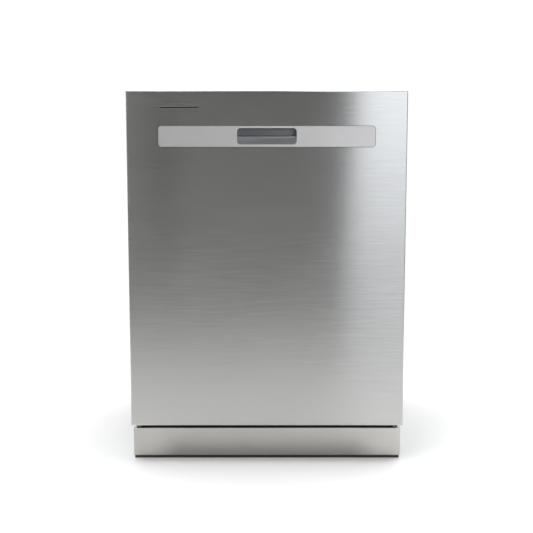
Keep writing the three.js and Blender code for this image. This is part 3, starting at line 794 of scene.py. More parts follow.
def rackGrip(name, body, y, z):
    grip = box(name, (-0.075, y - 7.5 * mm, z - 15 * mm), (0.075, y - 1.5 * mm, z + 5 * mm))
    roundEdges(sink(grip, (0, -1, 0), 4 * mm, (0, 2.5 * mm, 0)), 1.8 * mm, 3, 40)
    fit(grip, body, greyPp)


upperRack = {"reach": 0.230, "front": -0.204, "back": 0.238, "floor": 0.530, "rim": 0.640}


def makeUpperRack():
    reach, front, back, floor, rim = upperRack.values()
    basket = wireBasket("upperRack", Vector((-reach, front, 0)), Vector((reach, back, 0)), floor, rim, 9,
                        11, [(-0.09, 0.02, 0.19, 0.006), (0.06, 0.02, 0.19, 0.006),
                             (0.18, -0.19, 0.19, 0.006)], 0.582)
    fit(basket, "upper_rack", nylon, "upper_rack")
    for side, name in ((-1, "Left"), (1, "Right")):
        runner = box("upperRunner" + name, (side * 0.257, front - 2 * mm, 0.562),
                     (side * 0.2693, 0.234, 0.584))
        roundEdges(sink(runner, (side, 0, 0), 4 * mm, (-side * 6 * mm, 0, 0)), 0.8 * mm, 2, 40)
        arms = [roundBox("arm", (side * 0.229, y - 7 * mm, 0.570), (side * 0.2575, y + 7 * mm, 0.576),
                         1.2 * mm) for y in (-0.0945, 0.1275)]
        balls = [cylinder("ball", (side * 0.2632, y, 0.573), (side * 0.2698, y, 0.573), 4.6 * mm, 20)
                 for y in (-0.18, -0.02, 0.2)]
        fit(joinPieces("upperRunner" + name, [runner] + arms), "upper_rack", tubSteel)
        fit(joinPieces("runnerRollers" + name, balls), "upper_rack", whitePp)
    rackGrip("upperRackGrip", "upper_rack", front, rim)


lowerRack = {"reach": 0.240, "front": -0.204, "back": 0.248, "floor": 0.162, "rim": 0.290}


def makeLowerRack():
    reach, front, back, floor, rim = lowerRack.values()
    basket = wireBasket("lowerRack", Vector((-reach, front, 0)), Vector((reach, back, 0)), floor, rim, 10,
                        12, [(-0.14, -0.19, 0.15, 0.0), (-0.04, -0.19, 0.15, 0.0),
                             (0.175, -0.19, 0.20, 0.0)], 0.232)
    fit(basket, "lower_rack", nylon, "lower_rack")
    for number, (side, y) in enumerate(((-1, -0.109), (1, -0.109), (-1, 0.160), (1, 0.160))):
        carrier = box("wheelCarrier%d" % (number + 1), (side * 0.239, y - 14 * mm, 0.131),
                      (side * 0.250, y + 14 * mm, 0.176))
        roundEdges(sink(carrier, (side, 0, 0), 2.4 * mm, (-side * 4 * mm, 0, 0)), 1.6 * mm, 3)
        boss = roundBar("boss", (side * 0.245, y, 0.1373), (side * 0.2515, y, 0.1373), 7 * mm, 0.6 * mm, 24)
        axle = cylinder("axle", (side * 0.250, y, 0.1373), (side * 0.264, y, 0.1373), 3 * mm, 20)
        cap = roundBar("cap", (side * 0.2622, y, 0.1373), (side * 0.2645, y, 0.1373), 5.4 * mm, 0.8 * mm, 24)
        fit(joinPieces(carrier.name, [carrier, boss, axle, cap]), "lower_rack", greyPp)
    rackGrip("lowerRackGrip", "lower_rack", front, rim)


def makeWheels():
    outer = 17 * mm
    wheel = spunAlongX("wheel", [(3.4 * mm, -5 * mm), (6 * mm, -5 * mm), (6.5 * mm, -2 * mm),
                                 (12.5 * mm, -1.5 * mm), (13.5 * mm, -4.6 * mm),
                                 (outer - 0.8 * mm, -5 * mm), (outer, -4.2 * mm), (outer, -2 * mm),
                                 (outer - 1.6 * mm, 0), (outer, 2 * mm), (outer, 4.2 * mm),
                                 (outer - 0.8 * mm, 5 * mm), (13.5 * mm, 4.6 * mm), (12.5 * mm, 1.5 * mm),
                                 (6.5 * mm, 2 * mm), (6 * mm, 5 * mm), (3.4 * mm, 5 * mm),
                                 (3.4 * mm, -5 * mm)], (0, 0, 0), 40)
    turns = [k * math.pi / 3 for k in range(6)]
    cutWith(wheel,
            *[cylinder("hole", (-8 * mm, 9.5 * mm * math.cos(t), 9.5 * mm * math.sin(t)),
                       (8 * mm, 9.5 * mm * math.cos(t), 9.5 * mm * math.sin(t)), 2.2 * mm, 14)
              for t in turns])
    smooth(wheel, 35)
    for node in ("wheel_front_left", "wheel_front_right", "wheel_rear_left", "wheel_rear_right"):
        made = copyOf(wheel, "wheel" + node[6:].title().replace("_", ""), middleOf(node))
        fit(made, node, greyPp, node)
    bpy.data.objects.remove(wheel)


def makeCupShelf():
    low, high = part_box("cup_shelf")
    hinge, edge, z, reach = low.x + 2 * mm, high.x - 2 * mm, (low.z + high.z) / 2, high.y - 2 * mm
    ring = path("ring", [(hinge, -reach, z), (edge, -reach, z), (edge, reach, z), (hinge, reach, z),
                         (hinge, -reach, z)], 12 * mm, closed=True)
    cross = path("cross", [(hinge, -reach + 0.024, z), (edge, -reach + 0.024, z)])
    repeat(cross, 11, (0, (2 * reach - 0.048) / 10, 0))
    bump = path("bump", [(hinge + 0.05, -reach, z), (hinge + 0.05, reach, z)])
    shelf = thicken(joinPieces("cupShelf", [ring, cross, bump]), 1.8 * mm, 2)
    fit(shelf, "cup_shelf", nylon, "cup_shelf")
    clips = [roundBox("clip", (hinge - 2.5 * mm, y - 8 * mm, z - 2.9 * mm),
                      (hinge + 5 * mm, y + 8 * mm, z + 2.9 * mm), 1.2 * mm) for y in (-0.1, 0.1)]
    fit(joinPieces("cupShelfClips", clips), "cup_shelf", greyPp)


def makeTineRow():
    low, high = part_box("tine_row")
    y, z = (low.y + high.y) / 2, 0.168
    left, right = low.x, high.x
    tine = path("tine", [(left + 0.010, y, z), (left + 0.010, y, high.z)])
    repeat(tine, 14, ((right - left - 0.020) / 13, 0, 0))
    tines = thicken(tine, rackWire["tine"], 2)
    rod = wireThrough("rod", [(left, y, z), (right, y, z)], 2.0 * mm, 0, 3)
    fit(joinPieces("tineRow", [rod, tines]), "tine_row", nylon, "tine_row")


# cutlery basket: a moulded lattice in four pockets, with a handle
def lattice(name, low, high, cells, thick):
    # a sheet of square openings across a box with one side of no thickness
    deselectAll()
    thin = min(range(3), key=lambda i: abs(high[i] - low[i]))
    size = [abs(b - a) for a, b in zip(low, high)]
    turn = [(0, math.pi / 2, 0), (math.pi / 2, 0, 0), (0, 0, 0)][thin]
    spread = {0: (size[2], size[1], 1), 1: (size[0], size[2], 1), 2: (size[0], size[1], 1)}[thin]
    bpy.ops.mesh.primitive_grid_add(x_subdivisions=cells[0], y_subdivisions=cells[1], size=1,
                                    location=[(a + b) / 2 for a, b in zip(low, high)], rotation=turn)
    piece = bpy.context.object
    piece.name = name
    piece.scale = spread
    applyPlace()
    return modify(piece, "WIREFRAME", thickness=thick, use_even_offset=False)


def frameRing(name, low, high, wall):
    outer = box(name, low, high)
    inner = box("inner", (low[0] + wall, low[1] + wall, low[2] - 1),
                (high[0] - wall, high[1] - wall, high[2] + 1))
    cutWith(outer, inner)
    return roundEdges(outer, 0.7 * mm, 2)


cutlery = {"left": 0.173, "right": 0.235, "front": -0.189, "back": 0.049, "low": 0.167, "high": 0.278}


def makeCutleryBasket():
    left, right, front, back, low, high = cutlery.values()
    parts = [lattice("side", (x, front, low), (x, back, high), (11, 24), 2.0 * mm)
             for x in (left, (left + right) / 2, right)]
    parts += [lattice("end", (left, y, low), (right, y, high), (7, 11), 2.0 * mm)
              for y in (front, (front + back) / 2, back)]
    parts.append(lattice("floor", (left, front, low), (right, back, low), (7, 24), 2.2 * mm))
    parts.append(frameRing("rimTop", (left - 1 * mm, front - 1 * mm, high - 5 * mm),
                           (right + 1 * mm, back + 1 * mm, high + 2 * mm), 3 * mm))
    parts.append(frameRing("rimLow", (left - 1 * mm, front - 1 * mm, low - 1 * mm),
                           (right + 1 * mm, back + 1 * mm, low + 7 * mm), 3 * mm))
    middle = (left + right) / 2
    handle = wireThrough("handle", [(middle, -0.114, 0.24), (middle, -0.114, 0.341), (middle, -0.026, 0.341),
                                    (middle, -0.026, 0.24)], 3.4 * mm, 14 * mm, 4)
    parts.append(handle)
    fit(joinPieces("cutleryBasket", parts), "cutlery_basket", greyPp, "cutlery_basket")


# spray arms: hollow moulded blades with jets, turning about the middle of the wash system
washCentre = 0.030


def makeSprayArm(name, node, turn, arm):
    blade = box(name, (-arm["reach"], -arm["broad"], arm["low"]), (arm["reach"], arm["broad"], arm["high"]))
    startEdit(blade, "EDGE")
    selectWhere(blade, "edges", lambda a, b: abs(a.x - b.x) > 0.1)
    bpy.ops.mesh.subdivide(number_cuts=3)
    selectWhere(blade, "verts", lambda c: abs(c.x) > arm["reach"] * 0.9)
    bpy.ops.transform.resize(value=(1, 0.62, 0.7), center_override=(0, 0, (arm["low"] + arm["high"]) / 2))
    bpy.ops.mesh.select_mode(type="EDGE")
    selectWhere(blade, "edges", lambda a, b: abs(a.x) > arm["reach"] * 0.9
                and abs(b.x) > arm["reach"] * 0.9 and abs(a.z - b.z) > 3 * mm)
    bpy.ops.mesh.bevel(offset=9 * mm, segments=6, affect="EDGES")
    endEdit()
    roundEdges(blade, 2.6 * mm, 4, 40)
    hub = spun("hub", [(0, arm["hubLow"]), (arm["hub"] - 3 * mm, arm["hubLow"]), (arm["hub"], arm["low"]),
                       (arm["hub"], arm["high"]), (arm["hub"] - 2 * mm, arm["hubHigh"] - 1.4 * mm),
                       (arm["hub"] - 5 * mm, arm["hubHigh"]), (0, arm["hubHigh"])], (0, 0, 0))
    spine = roundBox("spine", (-arm["reach"] * 0.86, -3 * mm, arm["high"] - 1 * mm),
                           (arm["reach"] * 0.86, 3 * mm, arm["high"] + 1.2 * mm), 1.0 * mm, 3)
    parts = [blade, hub, spine]
    for share, across in ((0.22, -9), (0.38, 8), (0.55, -8), (0.72, 7), (0.9, -4)):
        for side in (-1, 1):
            x, y = side * share * arm["reach"], side * across * mm
            jet = cylinder("jet", (x, y, arm["high"] - 1 * mm), (x, y, arm["high"] + 1.3 * mm), 3.6 * mm, 20)
            parts.append(smooth(sink(jet, (0, 0, 1), 1.8 * mm, (0, 0, -1.6 * mm))))
    fit(place(joinPieces(name, parts), (0, washCentre, 0), (0, 0, turn)), node, greyPp, node)


def makeSprayArms():
    makeSprayArm("lowerSprayArm", "lower_spray_arm", 0.5, {"reach": 0.229, "broad": 0.020, "low": 0.142,
            "high": 0.151, "hub": 0.020, "hubLow": 0.138, "hubHigh": 0.155})
    makeSprayArm("upperSprayArm", "upper_spray_arm", -0.35, {"reach": 0.212, "broad": 0.018, "low": 0.485,
            "high": 0.494, "hub": 0.016, "hubLow": 0.483, "hubHigh": 0.4977})


def makeFeedTube():
    z, y = 0.512, 0.030
    tube = wireThrough("upperFeedTube", [(0, 0.2535, z), (0, y, z)], 9 * mm, 0, 7)
    socket = roundEdges(cylinder("socket", (0, 0.236, z), (0, 0.2535, z), 12 * mm, 40), 1.2 * mm, 3)
    hub = spun("hub", [(0, 0.4985), (12 * mm, 0.4985), (12 * mm, 0.517), (10 * mm, 0.521), (0, 0.521)],
               (0, y, 0))
    collars = [roundBar("collar", (0, c - 3 * mm, z), (0, c + 3 * mm, z), 10.4 * mm, 0.8 * mm, 40)
               for c in (0.07, 0.19)]
    clip = roundBox("clip", (-8 * mm, 0.118, 0.515), (8 * mm, 0.132, 0.5277), 1.2 * mm)
    fit(joinPieces("upperFeedTube", [tube, socket, hub, clip] + collars), "upper_rack", greyPp,
        "upper_feed_tube")


# wash system under and in the tub
heaterRing = {"radius": 0.160, "height": 0.126, "gap": 0.14, "steps": 60}


def makeHeater():
    ring, z, ends, steps = heaterRing.values()
    centre = washCentre
    points = []
    for k in range(steps + 1):
        angle = math.pi / 2 + ends + (2 * math.pi - 2 * ends) * k / steps
        points.append((ring * math.cos(angle), centre + ring * math.sin(angle), z))
    first, last = points[0], points[-1]
    points = [(first[0], first[1], 0.117)] + points + [(last[0], last[1], 0.117)]
    tube = wireThrough("heater", points, 3.9 * mm, 0, 4)
    glands = [roundBar("gland", (p[0], p[1], 0.1162), (p[0], p[1], 0.121), 9 * mm, 1 * mm, 6)
              for p in (first, last)]
    fit(tube, "cabinet", heaterSheath, "heater")
    clips = []
    for angle in (0.3, math.pi - 0.3, -math.pi / 2):
        x, y = ring * math.cos(angle), centre + ring * math.sin(angle)
        clips.append(roundBox("clip", (x - 4 * mm, y - 4 * mm, 0.1158), (x + 4 * mm, y + 4 * mm, 0.123),
                              1 * mm))
    fit(joinPieces("heaterClips", glands + clips), "cabinet", tubSteel)


def makeSump():
    piece = fromNode("sump", "sump", 0.6 * mm, 2)
    fins = []
    for k in range(8):
        angle = k * math.pi / 4 + 0.2
        fin = box("fin", (0.058, -1.2 * mm, 0.060), (0.0835, 1.2 * mm, 0.108))
        fins.append(place(fin, (0, 0.030, 0), (0, 0, angle)))
    outlets = [cylinder("outlet", (-0.080, 0.040, 0.078), (-0.104, 0.040, 0.078), 12 * mm, 28),
               cylinder("outlet", (0.070, -0.010, 0.076), (0.100, -0.030, 0.076), 9 * mm, 28)]
    fit(joinPieces("sump", [piece] + fins + [roundEdges(o, 1 * mm, 2) for o in outlets]), "cabinet",
        darkPp, "sump")
    # the coarse filter: a thin steel disc full of small holes, over the bowl
    disc = cylinder("filterPlate", (0, 0.030, 0.1166), (0, 0.030, 0.1174), 0.0862, 72)
    x, y = 0.037, 0.067
    cutWith(disc, cylinder("hole", (x, y, 0.1), (x, y, 0.13), 0.0330, 40),
            cylinder("hole", (0, 0.03, 0.1), (0, 0.03, 0.13), 0.0145, 32))
    smooth(disc, 30)
    fit(disc, "cabinet", perforated)


def makeFilterCup():
    x, y, _ = middleOf("filter_cup")
    cup = spun("filterCup", [(0, 0.0742), (26 * mm, 0.0742), (26.8 * mm, 0.077), (26.8 * mm, 0.084),
                             (24.6 * mm, 0.0845), (24.6 * mm, 0.078), (0, 0.078), (0, 0.0742)], (x, y, 0))
    collar = spun("collar", [(24.4 * mm, 0.111), (26.8 * mm, 0.111), (26.8 * mm, 0.1168),
                             (31.8 * mm, 0.1170), (31.8 * mm, 0.1190), (30.8 * mm, 0.1196),
                             (26 * mm, 0.1196), (24.4 * mm, 0.118), (24.4 * mm, 0.111)], (x, y, 0))
    deselectAll()
    bpy.ops.mesh.primitive_cylinder_add(vertices=56, radius=25.6 * mm, depth=0.030,
                                        location=(x, y, 0.0975), end_fill_type="NOTHING")
    mesh = bpy.context.object
    applyPlace()
    startEdit(mesh, "EDGE")
    selectWhere(mesh, "edges", lambda a, b: abs(a.z - b.z) > 0.02)
    bpy.ops.mesh.subdivide(number_cuts=13)
    endEdit()
    modify(mesh, "WIREFRAME", thickness=0.8 * mm, use_even_offset=False)
    posts = [box("post", (x + 25.4 * mm * math.cos(t) - 1.6 * mm, y + 25.4 * mm * math.sin(t) - 1.6 * mm,
                          0.080), (x + 25.4 * mm * math.cos(t) + 1.6 * mm,
                                   y + 25.4 * mm * math.sin(t) + 1.6 * mm, 0.114))
             for t in (0.5, 2.07, 3.64, 5.21)]
    handle = roundBox("handle", (x - 25 * mm, y - 2.6 * mm, 0.1165), (x + 25 * mm, y + 2.6 * mm, 0.1258),
                      1.6 * mm, 3)
    fit(joinPieces("filterCup", [cup, collar, mesh, handle] + posts), "filter_cup", greyPp, "filter_cup")


def ribsRound(x, y, reach, low, high, radius, sides):
    # twelve small upright ribs in a circle
    ribs = []
    for k in range(12):
        angle = k * math.pi / 6
        rx, ry = x + reach * math.cos(angle), y + reach * math.sin(angle)
        ribs.append(cylinder("rib", (rx, ry, low), (rx, ry, high), radius, sides))
    return ribs


def makeFloat():
    x, y, _ = middleOf("float_dome")
    dome = spun("floatDome", [(0, 0.0982), (3.2 * mm, 0.0982), (3.4 * mm, 0.1172), (17.4 * mm, 0.1172),
                              (17.9 * mm, 0.1178), (17.9 * mm, 0.128), (17.2 * mm, 0.1312),
                              (15 * mm, 0.1338), (11 * mm, 0.1354), (0, 0.1359)], (x, y, 0))
    ribs = ribsRound(x, y, 17.7 * mm, 0.1178, 0.1285, 0.9 * mm, 10)
    fit(joinPieces("floatDome", [dome] + ribs), "float_dome", whitePp, "float_dome")


def makeManifold():
    duct = fromNode("water_manifold", "waterManifold", 1.6 * mm, 3)
    bands = [roundBox("band", (-19 * mm, 0.2712, z), (19 * mm, 0.2886, z + 7 * mm), 1.4 * mm)
             for z in (0.17, 0.27, 0.37, 0.46, 0.53)]
    mouth = spunAlongY("mouth", [(9.6 * mm, -0.0175), (11.9 * mm, -0.0175), (11.9 * mm, -0.004),
                                 (15 * mm, -0.002), (15 * mm, 0.001), (9.6 * mm, 0.001),
                                 (9.6 * mm, -0.0175)], (0, 0.2735, 0.512), 40)
    fit(joinPieces("waterManifold", [duct, mouth] + bands), "cabinet", greyPp, "water_manifold")


def makeMotor():
    z, y = 0.062, 0.040
    can = spunAlongX("washMotor", [(0, -0.2278), (20 * mm, -0.2278), (30 * mm, -0.2240),
                                   (31.8 * mm, -0.2190), (31.8 * mm, -0.2000), (29.5 * mm, -0.1985),
                                   (29.5 * mm, -0.1600), (31.8 * mm, -0.1585), (31.8 * mm, -0.1300),
                                   (27 * mm, -0.1270), (27 * mm, -0.1120), (20 * mm, -0.1080),
                                   (20 * mm, -0.0925), (0, -0.0925)], (0, y, z), 56)
    fins = [spunAlongX("fin", [(29 * mm, x), (31.6 * mm, x), (31.6 * mm, x + 1.4 * mm),
                               (29 * mm, x + 1.4 * mm), (29 * mm, x)], (0, y, z), 56)
            for x in (-0.194, -0.188, -0.182, -0.176, -0.170, -0.164)]
    feet = [roundBox("foot", (x, 0.022, 0.0223), (x + 20 * mm, 0.058, 0.040), 1.5 * mm)
            for x in (-0.215, -0.125)]
    plug = roundBox("plug", (-0.150, 0.028, 0.088), (-0.135, 0.052, 0.0955), 1 * mm)
    fit(joinPieces("washMotor", [can, plug] + feet), "cabinet", darkPp, "wash_motor")
    fit(joinPieces("washMotorFins", fins), "cabinet", springWire)


def makeDrainPump():
    x, z = 0.118, 0.056
    can = spunAlongY("drainPump", [(0, -0.1198), (14 * mm, -0.1198), (22 * mm, -0.1175),
                                   (25.8 * mm, -0.1120), (25.8 * mm, -0.0900), (23.5 * mm, -0.0885),
                                   (23.5 * mm, -0.0760), (25.8 * mm, -0.0745), (25.8 * mm, -0.0610),
                                   (12 * mm, -0.0602), (11.8 * mm, -0.0500), (12.6 * mm, -0.0480),
                                   (11.8 * mm, -0.0450), (11.2 * mm, -0.0402), (8 * mm, -0.0402),
                                   (8 * mm, -0.0560), (0, -0.0560)], (x, 0, z), 48)
    foot = roundBox("foot", (0.100, -0.112, 0.0223), (0.136, -0.070, 0.040), 1.5 * mm)
    coil = roundBox("coil", (0.106, -0.106, 0.070), (0.130, -0.076, 0.0818), 1.2 * mm)
    fit(joinPieces("drainPump", [can, foot, coil]), "cabinet", greyPp, "drain_pump")


def makeInletValve():
    block = roundBox("inletValve", (-0.240, -0.214, 0.0223), (-0.196, -0.176, 0.066), 2.2 * mm, 3)
    parts = [block]
    for x in (-0.229, -0.207):
        profile = [(0, 0.060), (8.9 * mm, 0.060)]
        for k in range(7):
            profile += [(8.9 * mm, 0.066 + k * 2.2 * mm), (8.0 * mm, 0.0671 + k * 2.2 * mm)]
        profile += [(8.4 * mm, 0.0838), (5.5 * mm, 0.0838), (5.5 * mm, 0.072), (0, 0.072)]
        parts.append(spun("thread", profile, (x, -0.195, 0), steps=32))
        parts.append(roundBar("solenoid", (x, -0.213, 0.040), (x, -0.180, 0.040), 9.5 * mm, 0.8 * mm, 28))
    fit(joinPieces("inletValve", parts), "cabinet", whitePp, "inlet_valve")


def makeJunctionBox():
    low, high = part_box("junction_box")
    piece = fromNode("junction_box", "junctionBox", 1.6 * mm, 3)
    lid = plateFlat("lid", low.x + 1 * mm, low.y + 1 * mm, high.x - 1 * mm, high.y - 1 * mm, 4 * mm,
                    high.z - 1.2 * mm, high.z + 1.2 * mm)
    fit(joinPieces("junctionBox", [piece, roundEdges(lid, 0.6 * mm, 2)]), "cabinet", zinc, "junction_box")
    screwsAt("junctionScrews", "cabinet", [((low.x + high.x) / 2, low.y + 8 * mm, high.z + 1 * mm),
                                           ((low.x + high.x) / 2, high.y - 8 * mm, high.z + 1 * mm)],
             (0, 0, 1))


# leveling feet: a ribbed disc on a threaded stem
def makeFeet():
    profile = [(0, 0), (15.2 * mm, 0), (15.9 * mm, 0.7 * mm), (15.9 * mm, 2.6 * mm), (15 * mm, 3.2 * mm),
               (9 * mm, 5 * mm), (4.2 * mm, 5.2 * mm)]
    for k in range(24):
        z = 7 * mm + k * 1.35 * mm
        profile += [(3.95 * mm, z), (3.4 * mm, z + 0.65 * mm)]
    profile += [(3.6 * mm, 39.6 * mm), (0, 39.8 * mm)]
    for node in ("foot_front_left", "foot_front_right", "foot_rear_left", "foot_rear_right"):
        x, y, _ = middleOf(node)
        stem = spun("stem", profile, (x, y, 0), steps=28)
        ribs = ribsRound(x, y, 15.4 * mm, 0.3 * mm, 3 * mm, 0.55 * mm, 8)
        nut = roundBar("nut", (x, y, 13 * mm), (x, y, 18 * mm), 7.5 * mm, 0.5 * mm, 6)
        fit(joinPieces("foot" + node[5:].title().replace("_", ""), [stem, nut] + ribs), "cabinet",
            blackAbs, node)


# balance springs: coils between the frame and the hooks of the cables
spring = {"wire": 0.85 * mm, "radius": 4.3 * mm, "pitch": 3.1 * mm}


def makeSprings():
    for side in ("left", "right"):
        low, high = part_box("balance_spring_" + side)
        x, z = (low.x + high.x) / 2, (low.z + high.z) / 2
        deselectAll()
        bpy.ops.mesh.primitive_circle_add(vertices=8, radius=spring["wire"],
                                          location=(spring["radius"], 0, 0))
        coil = bpy.context.object
        applyPlace()
        turns = int((high.y - low.y - 6 * mm) / spring["pitch"])
        modify(coil, "SCREW", axis="Y", screw_offset=spring["pitch"], iterations=turns, steps=14,
               render_steps=14, use_merge_vertices=False)
        startEdit(coil, "EDGE")
        mergeDoubles()
        bpy.ops.mesh.select_all(action="DESELECT")
        bpy.ops.mesh.select_non_manifold()
        bpy.ops.mesh.edge_face_add()
        faceOutwards()
        endEdit()
        place(coil, (x, low.y + 2 * mm, z))
        loop = wireThrough("loop", [(x, high.y - 5 * mm, z), (x, high.y - 1 * mm, z),
                                    (x, high.y, z - 4 * mm)], spring["wire"], 2 * mm, 2)
        piece = fit(joinPieces("balanceSpring" + side.title(), [smooth(coil, 50), loop]), None, springWire,
                    "balance_spring_" + side)
        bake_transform(piece)


# door inside
liner = {"bead": 1.6 * mm, "border": 12 * mm}


def makeDoorLiner():
    piece = fromNode("door_liner", "doorLiner", 2.2 * mm, 4)
    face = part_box("door_liner")[1].y
    parts = [piece]
    for left, bottom, right, top in ((-0.225, 0.185, 0.225, 0.395), (-0.225, 0.575, 0.130, 0.745)):
        outer = plate("field", left, bottom, right, top, 22 * mm, face - 0.4 * mm, face + liner["bead"], 8)
        inner = plate("fieldInside", left + liner["border"], bottom + liner["border"],
                      right - liner["border"], top - liner["border"], 14 * mm, face - 0.01, face + 0.01,
                      8)
        cutWith(outer, inner)
        parts.append(roundEdges(outer, 1.2 * mm, 3, 40))
    fit(joinPieces("doorLiner", parts), "door", tubSteel, "door_liner")
    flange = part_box("door_liner")[0].y + 1.5 * mm
    places = [(side * 0.293, flange, z) for side in (-1, 1) for z in (0.16, 0.29, 0.42, 0.55, 0.68, 0.78)]
    screwsAt("linerScrews", "door", places, (0, 1, 0), 0.9)


def makeConsole():
    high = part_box("console")[1]
    piece = fromNode("console", "console", 0.8 * mm, 3)
    fit(piece, "door", blackAbs, "console")
    # a dark window with the lights of the programme, and small lamps beside the keys
    window = plateFlat("displayWindow", 0.045, -0.291, 0.165, -0.275, 3 * mm, high.z - 0.6 * mm,
                       high.z + 0.5 * mm)
    fit(roundEdges(window, 0.3 * mm, 2), "door", smoked)
    lamps = [cylinder("lamp", (x, -0.2885, high.z - 0.2 * mm), (x, -0.2885, high.z + 0.35 * mm), 1.3 * mm,
                      16) for x in (-0.195, -0.145, -0.095, 0.235)]
    fit(joinPieces("keyLamps", [roundEdges(lamp, 0.2 * mm, 2) for lamp in lamps]), "door", lampLens)
    for number in range(1, 5):
        node = "button_%d" % number
        low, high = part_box(node)
        middle = (low + high) / 2
        key = plateFlat("button%d" % number, middle.x - 15 * mm, middle.y - 7 * mm, middle.x + 15 * mm,
                        middle.y + 7 * mm, 2.5 * mm, low.z + 2 * mm, high.z)
        sink(key, (0, 0, 1), 2.2 * mm, (0, 0, -0.5 * mm))
        skirt = plateFlat("skirt", middle.x - 17 * mm, middle.y - 9 * mm, middle.x + 17 * mm,
                          middle.y + 9 * mm, 3 * mm, low.z, low.z + 2.4 * mm)
        fit(joinPieces("button%d" % number, [roundEdges(key, 0.5 * mm, 3, 30), skirt]), node, blackGloss,
            node)
    places = [(x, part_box("console")[1].y - 0.2 * mm, 0.8105) for x in (-0.26, -0.12, 0.12, 0.26)]
    screwsAt("consoleScrews", "door", places, (0, 1, 0), 0.85)


def makeDispenser():
    housing = fromNode("dispenser", "dispenser", 1.4 * mm, 3)
    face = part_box("dispenser")[1].y
    lipOut = plate("lip", -0.108, 0.440, 0.108, 0.532, 8 * mm, face - 0.3 * mm, face + 0.5 * mm, 6)
    cutWith(lipOut, plate("lipHole", -0.064, 0.446, 0.012, 0.526, 5 * mm, face - 0.01, face + 0.01, 6),
            plate("lipHole", 0.024, 0.448, 0.100, 0.524, 8 * mm, face - 0.01, face + 0.01, 6))
    window = spunAlongY("window", [(0, face - 0.2 * mm), (5 * mm, face - 0.2 * mm),
                                   (5 * mm, face + 0.9 * mm), (4.2 * mm, face + 1.2 * mm),
                                   (0, face + 1.2 * mm)], (-0.090, 0, 0.460), 32)
    fit(joinPieces("dispenser", [housing, lipOut]), "door", greyPp, "dispenser")
    fit(window, "door", smoked)
    lid = fromNode("dispenser_lid", "dispenserLid", 1.0 * mm, 3)
    low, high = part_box("dispenser_lid")
    # five upright grip ribs, across the way that the lid slides
    ribs = [roundBox("rib", (x, low.y + 2.2 * mm, low.z + 16 * mm),
                           (x + 2 * mm, low.y + 3.4 * mm, high.z - 16 * mm), 0.5 * mm)
            for x in (low.x + (12 + 6 * count) * mm for count in range(5))]
    fit(joinPieces("dispenserLid", [lid] + ribs), "dispenser_lid", whitePp, "dispenser_lid")
    low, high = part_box("rinse_cap")
    middle = (low + high) / 2
    cap = spunAlongY("rinseCap", [(0, low.y), (13.4 * mm, low.y), (13.9 * mm, low.y + 0.6 * mm),
                                  (13.9 * mm, low.y + 2.6 * mm), (13 * mm, low.y + 3.4 * mm),
                                  (0, low.y + 3.4 * mm)], (middle.x, 0, middle.z), 48)
    grip = roundBox("grip", (middle.x - 11 * mm, low.y + 3 * mm, middle.z - 2.5 * mm),
                    (middle.x + 11 * mm, high.y, middle.z + 2.5 * mm), 1.1 * mm, 3)
    fit(joinPieces("rinseCap", [cap, grip]), "rinse_cap", blueCap, "rinse_cap")


def makeVent():
    low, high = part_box("door_vent")
    x, z = (low.x + high.x) / 2, (low.z + high.z) / 2

    def ring(inner, outer, thick):
        return spunAlongY("ring", [(inner, low.y), (outer, low.y), (outer, low.y + thick - 0.6 * mm),
                                   (outer - 0.7 * mm, low.y + thick), (inner + 0.7 * mm, low.y + thick),
                                   (inner, low.y + thick - 0.6 * mm), (inner, low.y)], (x, 0, z), 56)

    parts = [ring(22 * mm, 30 * mm, 2.5 * mm), ring(16 * mm, 18.5 * mm, 3.2 * mm),
             ring(10 * mm, 12.5 * mm, 3.4 * mm), ring(0.5 * mm, 6.5 * mm, 3.7 * mm)]
    for k in range(6):
        angle = k * math.pi / 3
        spoke = box("spoke", (4 * mm, low.y, -1.4 * mm), (24 * mm, low.y + 2.2 * mm, 1.4 * mm))
        parts.append(place(spoke, (x, 0, z), (0, angle, 0)))
    fit(joinPieces("doorVent", parts), "door", greyPp, "door_vent")
    # painted shade: a black disc behind the vent, dark in its openings
    ventShadeDisc = cylinder("ventShade", (x, low.y + 0.1 * mm, z), (x, low.y + 0.7 * mm, z), 0.026, 48)
    fit(ventShadeDisc, "door", blackAbs)


# frame and brackets: folded sheet with its screws
def makeFrameScrews():
    low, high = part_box("base_frame")
    sides = [(low.x, y, 0.088) for y in (-0.21, -0.02, 0.13, 0.28)]
    screwsAt("baseScrewsLeft", "cabinet", sides, (-1, 0, 0), 1.1)
    screwsAt("baseScrewsRight", "cabinet", [(-x, y, z) for x, y, z in sides], (1, 0, 0), 1.1)
    screwsAt("baseScrewsBack", "cabinet", [(x, high.y, 0.088) for x in (-0.27, -0.09, 0.09, 0.27)],
             (0, 1, 0), 1.1)
    low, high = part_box("front_frame")
    screwsAt("frameScrews", "cabinet", [(side * 0.293, low.y, z) for side in (-1, 1)
                                        for z in (0.2, 0.36, 0.52, 0.68)], (0, -1, 0), 0.7)


def makeHingeScrews():
    for side, name in ((-1, "Left"), (1, "Right")):
        screwsAt("hingeScrews" + name, "door",
                 [(side * 0.2880, -0.283, z) for z in (0.135, 0.175, 0.225)], (-side, 0, 0), 0.9)


# folded and moulded pieces whose own shape is right get rounded edges and their finish
plainPieces = {
    "base_frame": zinc, "front_frame": zinc, "toe_seal": gasketRubber, "kick_backing": blackAbs,
    "latch_strike": zinc, "latch_hook": zinc,
}
for side in ("left", "right"):
    plainPieces["counter_bracket_" + side] = zinc
    plainPieces["rack_guide_" + side] = tubSteel
    plainPieces["middle_rail_" + side] = tubSteel
    plainPieces["spring_hook_" + side] = springWire
    plainPieces["hinge_arm_" + side] = zinc


def bodyOf(node):
    bodies = frame["record"]["behaviour"]["bodies"]
    return next(body for body, members in bodies.items() if node in members)


